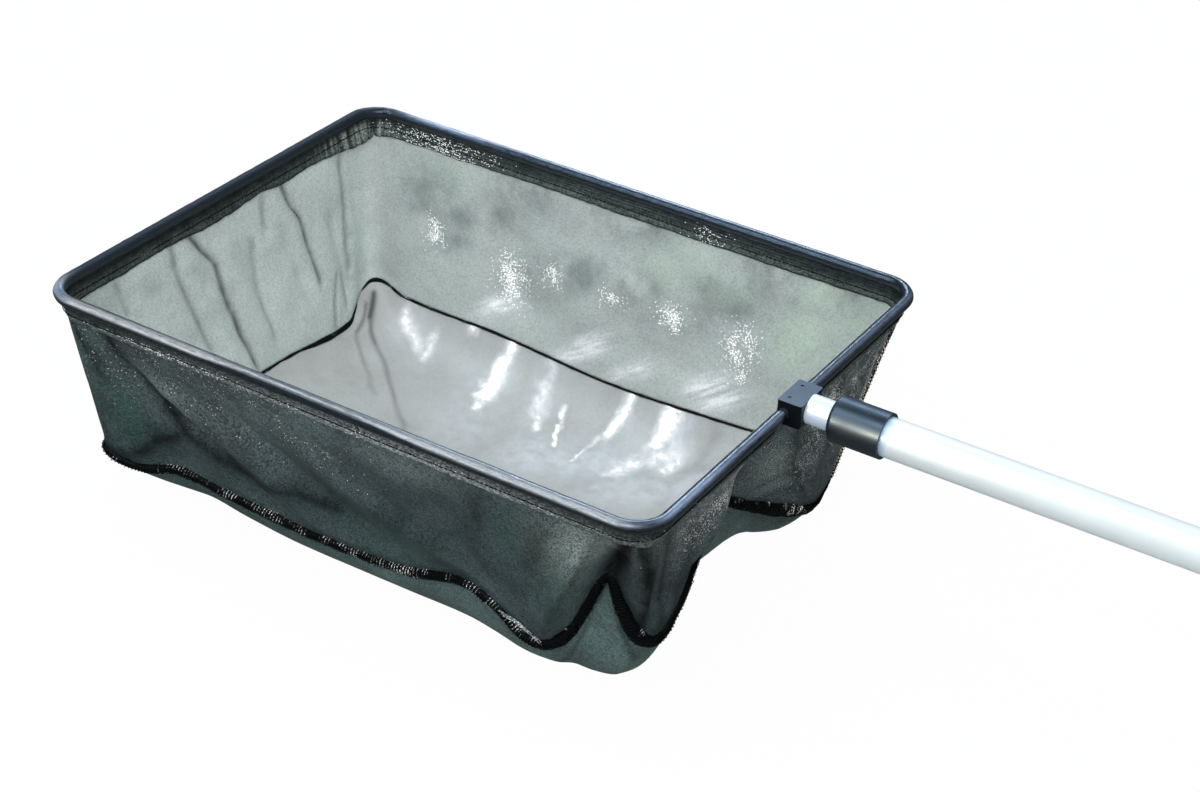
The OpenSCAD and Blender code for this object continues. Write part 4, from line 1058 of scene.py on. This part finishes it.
def build_sleeve(mats):
    """Cloth tube round the rod with two plies below it, a hem that holds the walls' top edge."""
    start = SLEEVE_STOP / PERIMETER
    u = np.linspace(start, 1 - start, SLEEVE_COLS)
    s = u * PERIMETER
    line = np.stack([s, 0 * s, 0 * s], -1)
    gather = sum(high * MM * swell(way_round(u - place) / (spread * MM)) for place, spread, high in GATHERS)
    left = swell(way_round(u - 0.5) / (110 * MM))
    edge = HEM_DEPTH + (0.7 + 1.6 * left) * MM * from_noise(line, 42 * MM, 11)
    edge = edge + 0.6 * MM * from_noise(line, 8 * MM, 15)
    edge = edge + 0.8 * gather * from_noise(line, 5 * MM, 16)
    edge = edge + 5 * MM * swell(way_round(u - 0.406) / (28 * MM))
    pleat = 1.6 * from_noise(line, 7 * MM, 18, 2)

    def face(r, side):
        """Rows from the outer hem's lower edge up, round the rod and down the inner hem."""
        a0 = math.asin(side / r)
        rows = []
        for sign in (1, -1):
            ply = []
            for k in range(HEM_ROWS):
                share = k / HEM_ROWS
                drop = edge + (r * math.cos(a0) - edge) * share
                fold = gather * pleat * (1 - share)
                belly = 0.35 * MM * from_noise(np.stack([s, 0 * s + 9 * sign, drop], -1), 12 * MM, 17)
                ply.append((drop, sign * side + fold + belly * (1 - share)))
            rows.append(ply)
        over = []
        for k in range(ROUND_ROD + 1):
            a = a0 + (2 * math.pi - 2 * a0) * k / ROUND_ROD
            over.append((np.full_like(u, r * math.cos(a)), np.full_like(u, r * math.sin(a))))
        return np.stack([hem_point(u, d, o) for d, o in rows[0] + over + rows[1][::-1]])

    outer = face(SLEEVE_R + SLEEVE_T, HEM_GAP + SLEEVE_T)
    inner = face(SLEEVE_R, HEM_GAP)
    rows, cols = outer.shape[:2]
    crinkle = 0.12 * MM * from_noise(outer, 5 * MM, 12) + 0.14 * MM * from_noise(outer, 16 * MM, 13)
    outer = outer + unit(outer - inner) * (crinkle + 0.05 * MM)[..., None]
    j = np.arange(rows - 1)
    in_hem = np.repeat((j < HEM_ROWS) | (j >= rows - 1 - HEM_ROWS), cols - 1)
    down = way_along(outer[:, 0])
    uv = np.stack([np.tile(s, rows), np.repeat(down, cols)], -1)
    far = swell(way_round(u - 0.26) / (180 * MM))
    near = swell(way_round(u - 0.74) / (170 * MM))
    ply = np.minimum(np.arange(rows), np.arange(rows)[::-1])[:, None] / HEM_ROWS
    outside = (np.arange(rows) < rows / 2)[:, None]
    clump = np.clip(0.5 + 1.6 * from_noise(line, 26 * MM, 21, 2), 0, 1)
    row = swell((ply - 0.34 - 0.10 * from_noise(line, 24 * MM, 22, 2)) / 0.12)
    end = ease((0.125 - np.abs(u - 0.5)) / 0.03)
    low = ease((0.60 + 0.32 * end - ply) / (0.3 + 0.4 * end)) * np.where(outside, 1, ease(ply / 0.14))
    first = swell(way_round(u - 0.668) / (48 * MM))
    stitched = swell(way_round(u - 0.352) / (36 * MM)) + 0.5 * swell(way_round(u - 0.207) / (12 * MM))
    bunch = swell(way_round(u - 0.408) / (34 * MM))
    drawn = np.stack([s + 0 * ply, 0.12 * down[:, None] + 0 * s, 0 * s + 0 * ply], -1)
    strand = from_noise(drawn, 4.5 * MM, 19, 2)
    across = np.arange(rows)[:, None] - HEM_ROWS
    on_rod = (across >= 0) & (across <= ROUND_ROD)
    turn = 180 - 360 * across / ROUND_ROD
    near_side = ease((u - 0.611) / 0.012) * ease((0.897 - u) / 0.02)
    pole_side = ease((np.abs(u - 0.5) - 0.388) / 0.02)
    far_side = ease((u - 0.115) / 0.02) * ease((0.385 - u) / 0.02)
    left_side = ease((0.113 - np.abs(u - 0.5)) / 0.012)
    by_corner = ease((0.950 - u) / 0.03) * (u > 0.5)
    tips = 0.9 * swell(way_round(u - 0.350) / (34 * MM)) + 0.6 * swell(way_round(u - 0.608) / (14 * MM))
    slim = ease((u - 0.685) / 0.03) * ease((0.80 - u) / 0.04)
    bright = 1 - 0.45 * ease((u - 0.78) / 0.05)
    # Painted highlight along the rod: bands set by the angle round it on each side, brighter tips by the
    # corners, bluish off the near side.
    band = 0.55 * (1 - 0.45 * slim) * ease((turn + 30) / 30) * ease((74 - 34 * slim - turn) / 22)
    highlight_paint = (near_side * (band + 0.60 * bright * swell((turn - 43 + 24 * slim) / 11))
            + pole_side * (0.12 + 0.35 * by_corner) * ease((turn + 34) / 28) * ease((58 - turn) / 22)
            + pole_side * (0.50 - 0.20 * (u < 0.5)) * swell((turn - 14) / 15)
            + (0.32 + 0.16 * ease((u - 0.18) / 0.08)) * far_side
            * ease((turn + 42) / 16) * ease((12 - turn) / 14)
            + 0.60 * left_side * ease((turn - 6) / 26) * ease((105 - turn) / 20)
            + tips * ease((turn + 80) / 50) * ease((80 - turn) / 40))
    bunched = np.clip(bunch * (0.40 + 1.7 * strand), 0, 0.9) * ease((1.02 - ply) / 0.45)
    frayed = (0.45 + 0.65 * low) * swell(way_round(u - 0.80) / (120 * MM)) + (0.25 + 0.25 * low) * near
    values = {
        "thin": np.where(outside, 0, bunched),
        "glint": np.where(outside, (0.22 * near * clump + 0.60 * first) * row + 0.06 * low * near * clump,
                          0.55 * stitched * ease((1.0 - ply) / 0.2) + 0 * ply),
        "lined": np.tile(0.06 + 0.34 * far + 0.5 * swell(way_round(u - 0.352) / (40 * MM)), (rows, 1)),
        "low": low * np.tile(0.85 + 0.15 * far, (rows, 1)),
        "grey": np.where(outside, 0.5 * near, 0.8 * far) + 0 * ply,
        "fray": np.where(outside, frayed, 0 * ply),
        "silver": np.clip(highlight_paint, 0, 1.2) * on_rod,
        "blue": 1 - near_side - 0.7 * left_side + 0 * ply,
        "dull": left_side * on_rod,
    }
    return closed_sheet("rod_sleeve", outer, inner, False, (mats["sleeve"], mats["hem"]), (in_hem, in_hem),
                        uv, values)


# ------------------------------------------------------------------ seams and threads
THREAD_SIDES = 5
WIND_STEPS = 9
SEAM_COLS = 900
STITCH_LENGTH = 3.2 * MM
STITCH_R = 0.42 * MM
STITCH_RINGS = 7
LOOSE_ENDS = 7
LOOSE_RINGS = 12
CLOSING_U = 0.094


def helix(path, closed, radius, pitch):
    """Thread wound round a path: a seam's overlock stitches."""
    if closed:
        path = np.concatenate([path, path[:1]])
    length = way_along(path)
    turns = int(length[-1] / pitch)
    s = np.linspace(0, length[-1], turns * WIND_STEPS, endpoint=not closed)
    mid = np.stack([np.interp(s, length, path[:, k]) for k in range(3)], -1)
    side, top = across_path(unit(np.gradient(mid, axis=0)))
    rough = 1 + 0.16 * np.array([noise.noise(Vector((x * 400, 0, 0))) for x in s])
    wide = np.interp(s, length, np.append(radius, radius[:1])) if np.ndim(radius) else radius
    a = (2 * np.pi * np.arange(len(s)) / WIND_STEPS)[:, None]
    return mid + (wide * rough)[:, None] * (np.cos(a) * side + np.sin(a) * top)


# Where the seam is bulkier: place round, spread in mm, share of its radius added.
SEAM_BULKS = [(0.445, 26, 0.55), (0.425, 12, 0.35), (0.896, 15, 0.75), (0.026, 30, 0.95), (0.395, 10, 0.3)]
# Where its threads get more painted glints: from and to, places round, and how much more than elsewhere.
SEAM_GLINTS = [
    (0.610, 0.800, 0.15), (0.800, 0.862, 0.12), (0.862, 0.882, 0.06), (0.345, 0.392, 0.20),
    (0.020, 0.060, 0.10)]


def build_bottom_seam(mats):
    u = np.linspace(0, 1, SEAM_COLS, endpoint=False)
    path = seam_point(u)
    wobble = np.stack([from_noise(path, 11 * MM, 20 + k, 2) for k in range(3)], -1)
    path = path + 0.35 * MM * wobble
    near = ease((0.30 - np.abs((u - 0.80 + 0.5) % 1 - 0.5)) / 0.1)
    bulk = sum(more * swell(way_round(u - place) / (spread * MM)) for place, spread, more in SEAM_BULKS)
    thick = SEAM_D / 2 * (0.46 + 1.12 * near + bulk + (0.10 + 0.14 * near) * from_noise(path, 12 * MM, 24, 2))
    core = tube_object("overlocked_seam", path, thick, 10, True, mats["overlock"])
    wind = helix(path, True, thick * 1.12, 2.3 * MM)
    length = way_along(path)
    number = np.arange(len(wind))
    round_at = np.interp(number / len(wind) * length[-1], length, u)
    glint = -0.12 + sum(more * ease((round_at - first) / 0.012) * ease((last - round_at) / 0.012)
                        for first, last, more in SEAM_GLINTS)
    wound_at = 2 * np.pi * number / WIND_STEPS
    # Painted glints, stronger on the turns that face out and up.
    glint = glint + 0.16 * np.interp(round_at, u, near) * (np.cos(wound_at - 0.9) - 0.55)
    wound = tube_object("bottom_seam_stitches", wind, 0.3 * MM, THREAD_SIDES, True, mats["glint_thread"],
                        {"glint": np.repeat(glint, THREAD_SIDES)})
    return core, wound


def build_loose_threads(mats):
    """Frayed ends that pull straight across the dip of the near seam."""
    first, last = seam_point(np.array([0.828, 0.8535]))
    paths = []
    for k in range(LOOSE_ENDS):
        t = np.linspace(0.03 * k, 1 - 0.07 * ((k * 3) % 5), LOOSE_RINGS)[:, None]
        path = first + (last - first) * t + np.array([0, -2.6 - 0.25 * k, 0.4 + 0.45 * (k % 4)]) * MM
        path = path + 0.8 * MM * np.stack([from_noise(path, 9 * MM, 30 + 3 * k + j, 2) for j in range(3)], -1)
        path[:, 2:] += 1.6 * MM * np.sin(np.pi * t)
        paths.append(path)
    radius = 0.42 * MM * np.sin(np.pi * np.linspace(0.08, 0.92, LOOSE_RINGS))
    return strands("loose_threads", paths, radius, THREAD_SIDES, mats["pale_thread"])


def stitch_line(name, start, drop, out, mats):
    """A row of separate stitches from start round to the same distance on the block's other side,
    each a short arched thread that dips into the cloth at its ends."""
    first, last = start * PERIMETER, (1 - start) * PERIMETER
    t = np.linspace(0.06, 0.94, STITCH_RINGS)
    arch = np.sin(np.pi * t)
    lift = out + np.sign(out) * 0.28 * MM * (arch - 0.4)
    paths = []
    for k in range(int((last - first) / STITCH_LENGTH)):
        s = first + (k + t) * STITCH_LENGTH
        paths.append(hem_point(s / PERIMETER, np.full_like(s, drop), lift))
    return strands(name, paths, STITCH_R * (0.45 + 0.55 * arch), THREAD_SIDES, mats["hem_thread"])


def build_closing_seam(mats):
    """Seam that closes the strip of the walls: a fold wound with thread."""
    v = np.linspace(0.19, 0.985, 60)
    t = (v - HEM_V) / (1 - HEM_V)
    path, out, _ = wall_surface(CLOSING_U - 0.006 * t, v)
    path = path + out * MM
    thread = tube_object("closing_seam_thread", helix(path, False, 0.95 * MM, 2.7 * MM), 0.50 * MM,
                         THREAD_SIDES, False, mats["closing_thread"])
    return thread, tube_object("closing_seam_fold", path, 0.75 * MM, 8, False, mats["overlock"])


# ------------------------------------------------------------------ building it all
PARTS = {
    "hoop_rod": "rod", "socket_block": "block", "rod_pins": "black", "tube_rivet": "rivet",
    "inner_tube": "stub", "end_core": "black", "core_pin": "steel", "guide_ring": "white_plastic",
    "lock_collar": "collar", "collet": "white_plastic", "lock_body": "black", "lock_pins": "steel",
    "outer_tube": "silver", "grip": "grip", "end_plug": "black",
}


def soften(node, width, segments=3):
    """Rounds a CAD part's sharp edges a little, for its looks."""
    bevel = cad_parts[node].modifiers.new("edges", "BEVEL")
    bevel.width = width
    bevel.segments = segments
    bevel.limit_method = "ANGLE"
    bevel.angle_limit = math.radians(40)


def make_materials():
    collar_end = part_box("lock_collar")[1].x
    return {
        # Each cloth has two copies: its inside painted pale as if lit, and its outside painted dark as if in
        # shade.
        "net_in": inside_material(),
        "net_out": outside_material("net_outside", (0.021, 0.031, 0.032), (0.051, 0.074, 0.077),
                                    (0.026, 0.060, 0.050), 0.93, 0.6),
        "bottom_in": bottom_material(),
        "bottom_out": outside_material("bottom_outside", (0.050, 0.082, 0.076), (0.088, 0.140, 0.130),
                                       (0.030, 0.060, 0.050), 0.88, 0.45, "skirt"),
        "sleeve": sleeve_material(),
        "hem": hem_material(),
        "overlock": thread_material("overlock", (0.002, 0.003, 0.003), -0.3),
        "glint_thread": thread_material("seam_thread", (0.002, 0.003, 0.003), 0.10, (0.9, 0.9, 0.88),
                                        11, 0.9, 0.45),
        "hem_thread": thread_material("hem_thread", (0.003, 0.004, 0.004), 0.07),
        "pale_thread": thread_material("pale_thread", (0.10, 0.10, 0.10), 0.30, (0.85, 0.86, 0.84)),
        "closing_thread": thread_material("closing_thread", (0.012, 0.011, 0.009), 0.34, (1.0, 0.80, 0.52),
                                          14, 0.9, 0.35),
        "black": plastic_material("black_plastic", (0.008, 0.012, 0.020), 0.42),
        "block": plastic_material("block_plastic", (0.002, 0.003, 0.005), 0.42, level=0.2,
                                  painted_sky_top=(0.058, 0.082, 0.116)),
        "collar": plastic_material("gloss_collar", (0.002, 0.003, 0.006), 0.41, 0.8, 0.03, 1.7, 0.9,
                                   (0.66, 0.84, 1)),
        "white_plastic": plastic_material("white_plastic", (0.72, 0.72, 0.69), 0.4),
        "grip": plastic_material("grip_rubber", (0.018, 0.019, 0.021), 0.7, 0.7, 0.12),
        "rod": metal_material("rod_coating", (0.02, 0.024, 0.03), 0.25, 0.0, 0.3),
        "silver": metal_material("silver_tube", (0.76, 0.80, 0.80), 0.40, 0.15,
                                 shade=(collar_end, 6 * MM, (0.30, 0.45, 0.60))),
        "stub": metal_material("inner_tube_metal", (0.72, 0.82, 0.95), 0.35, 0.25),
        "steel": metal_material("steel", (0.35, 0.37, 0.40), 0.3),
        "rivet": metal_material("rivet_metal", (0.7, 0.71, 0.72), 0.3),
    }


def dress_hard_parts(mats):
    for node, key in PARTS.items():
        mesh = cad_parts[node].data
        mesh.materials.clear()
        mesh.materials.append(mats[key])
    soften("socket_block", 1.6 * MM, 5)
    soften("lock_collar", 0.35 * MM)
    soften("grip", 0.3 * MM)
    soften("end_plug", 0.5 * MM)


def dress_net(mats):
    walls = build_walls(mats)
    bottom = build_bottom(mats)
    sleeve = build_sleeve(mats)
    seam, wound = build_bottom_seam(mats)
    loose = build_loose_threads(mats)
    start = (SLEEVE_STOP + 2 * MM) / PERIMETER
    away = HEM_GAP + SLEEVE_T + 0.25 * MM
    outer_line = stitch_line("hem_stitches_outside", start, HEM_DEPTH - 5 * MM, away, mats)
    inner_line = stitch_line("hem_stitches_inside", start, HEM_DEPTH - 5 * MM, -away, mats)
    closing, ridge = build_closing_seam(mats)
    for piece, slot, node in (
            (walls, "net_cloth", "bag_walls"), (bottom, "net_cloth", "bag_bottom"),
            (sleeve, "sleeve_cloth", "rim_sleeve"), (seam, "overlock", "bottom_seam"),
            (wound, "thread", None), (loose, "thread", None), (outer_line, "thread", "hem_stitching"),
            (inner_line, "thread", None), (closing, "thread", "closing_seam"), (ridge, "overlock", None)):
        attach(piece, "head")
        if node:
            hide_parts(node)


make_camera()
make_world()
make_lights()
materials = make_materials()
dress_hard_parts(materials)
dress_net(materials)
make_floor(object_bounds()[0].z - 1 * MM)

bpy.context.scene.view_settings.view_transform = "Standard"
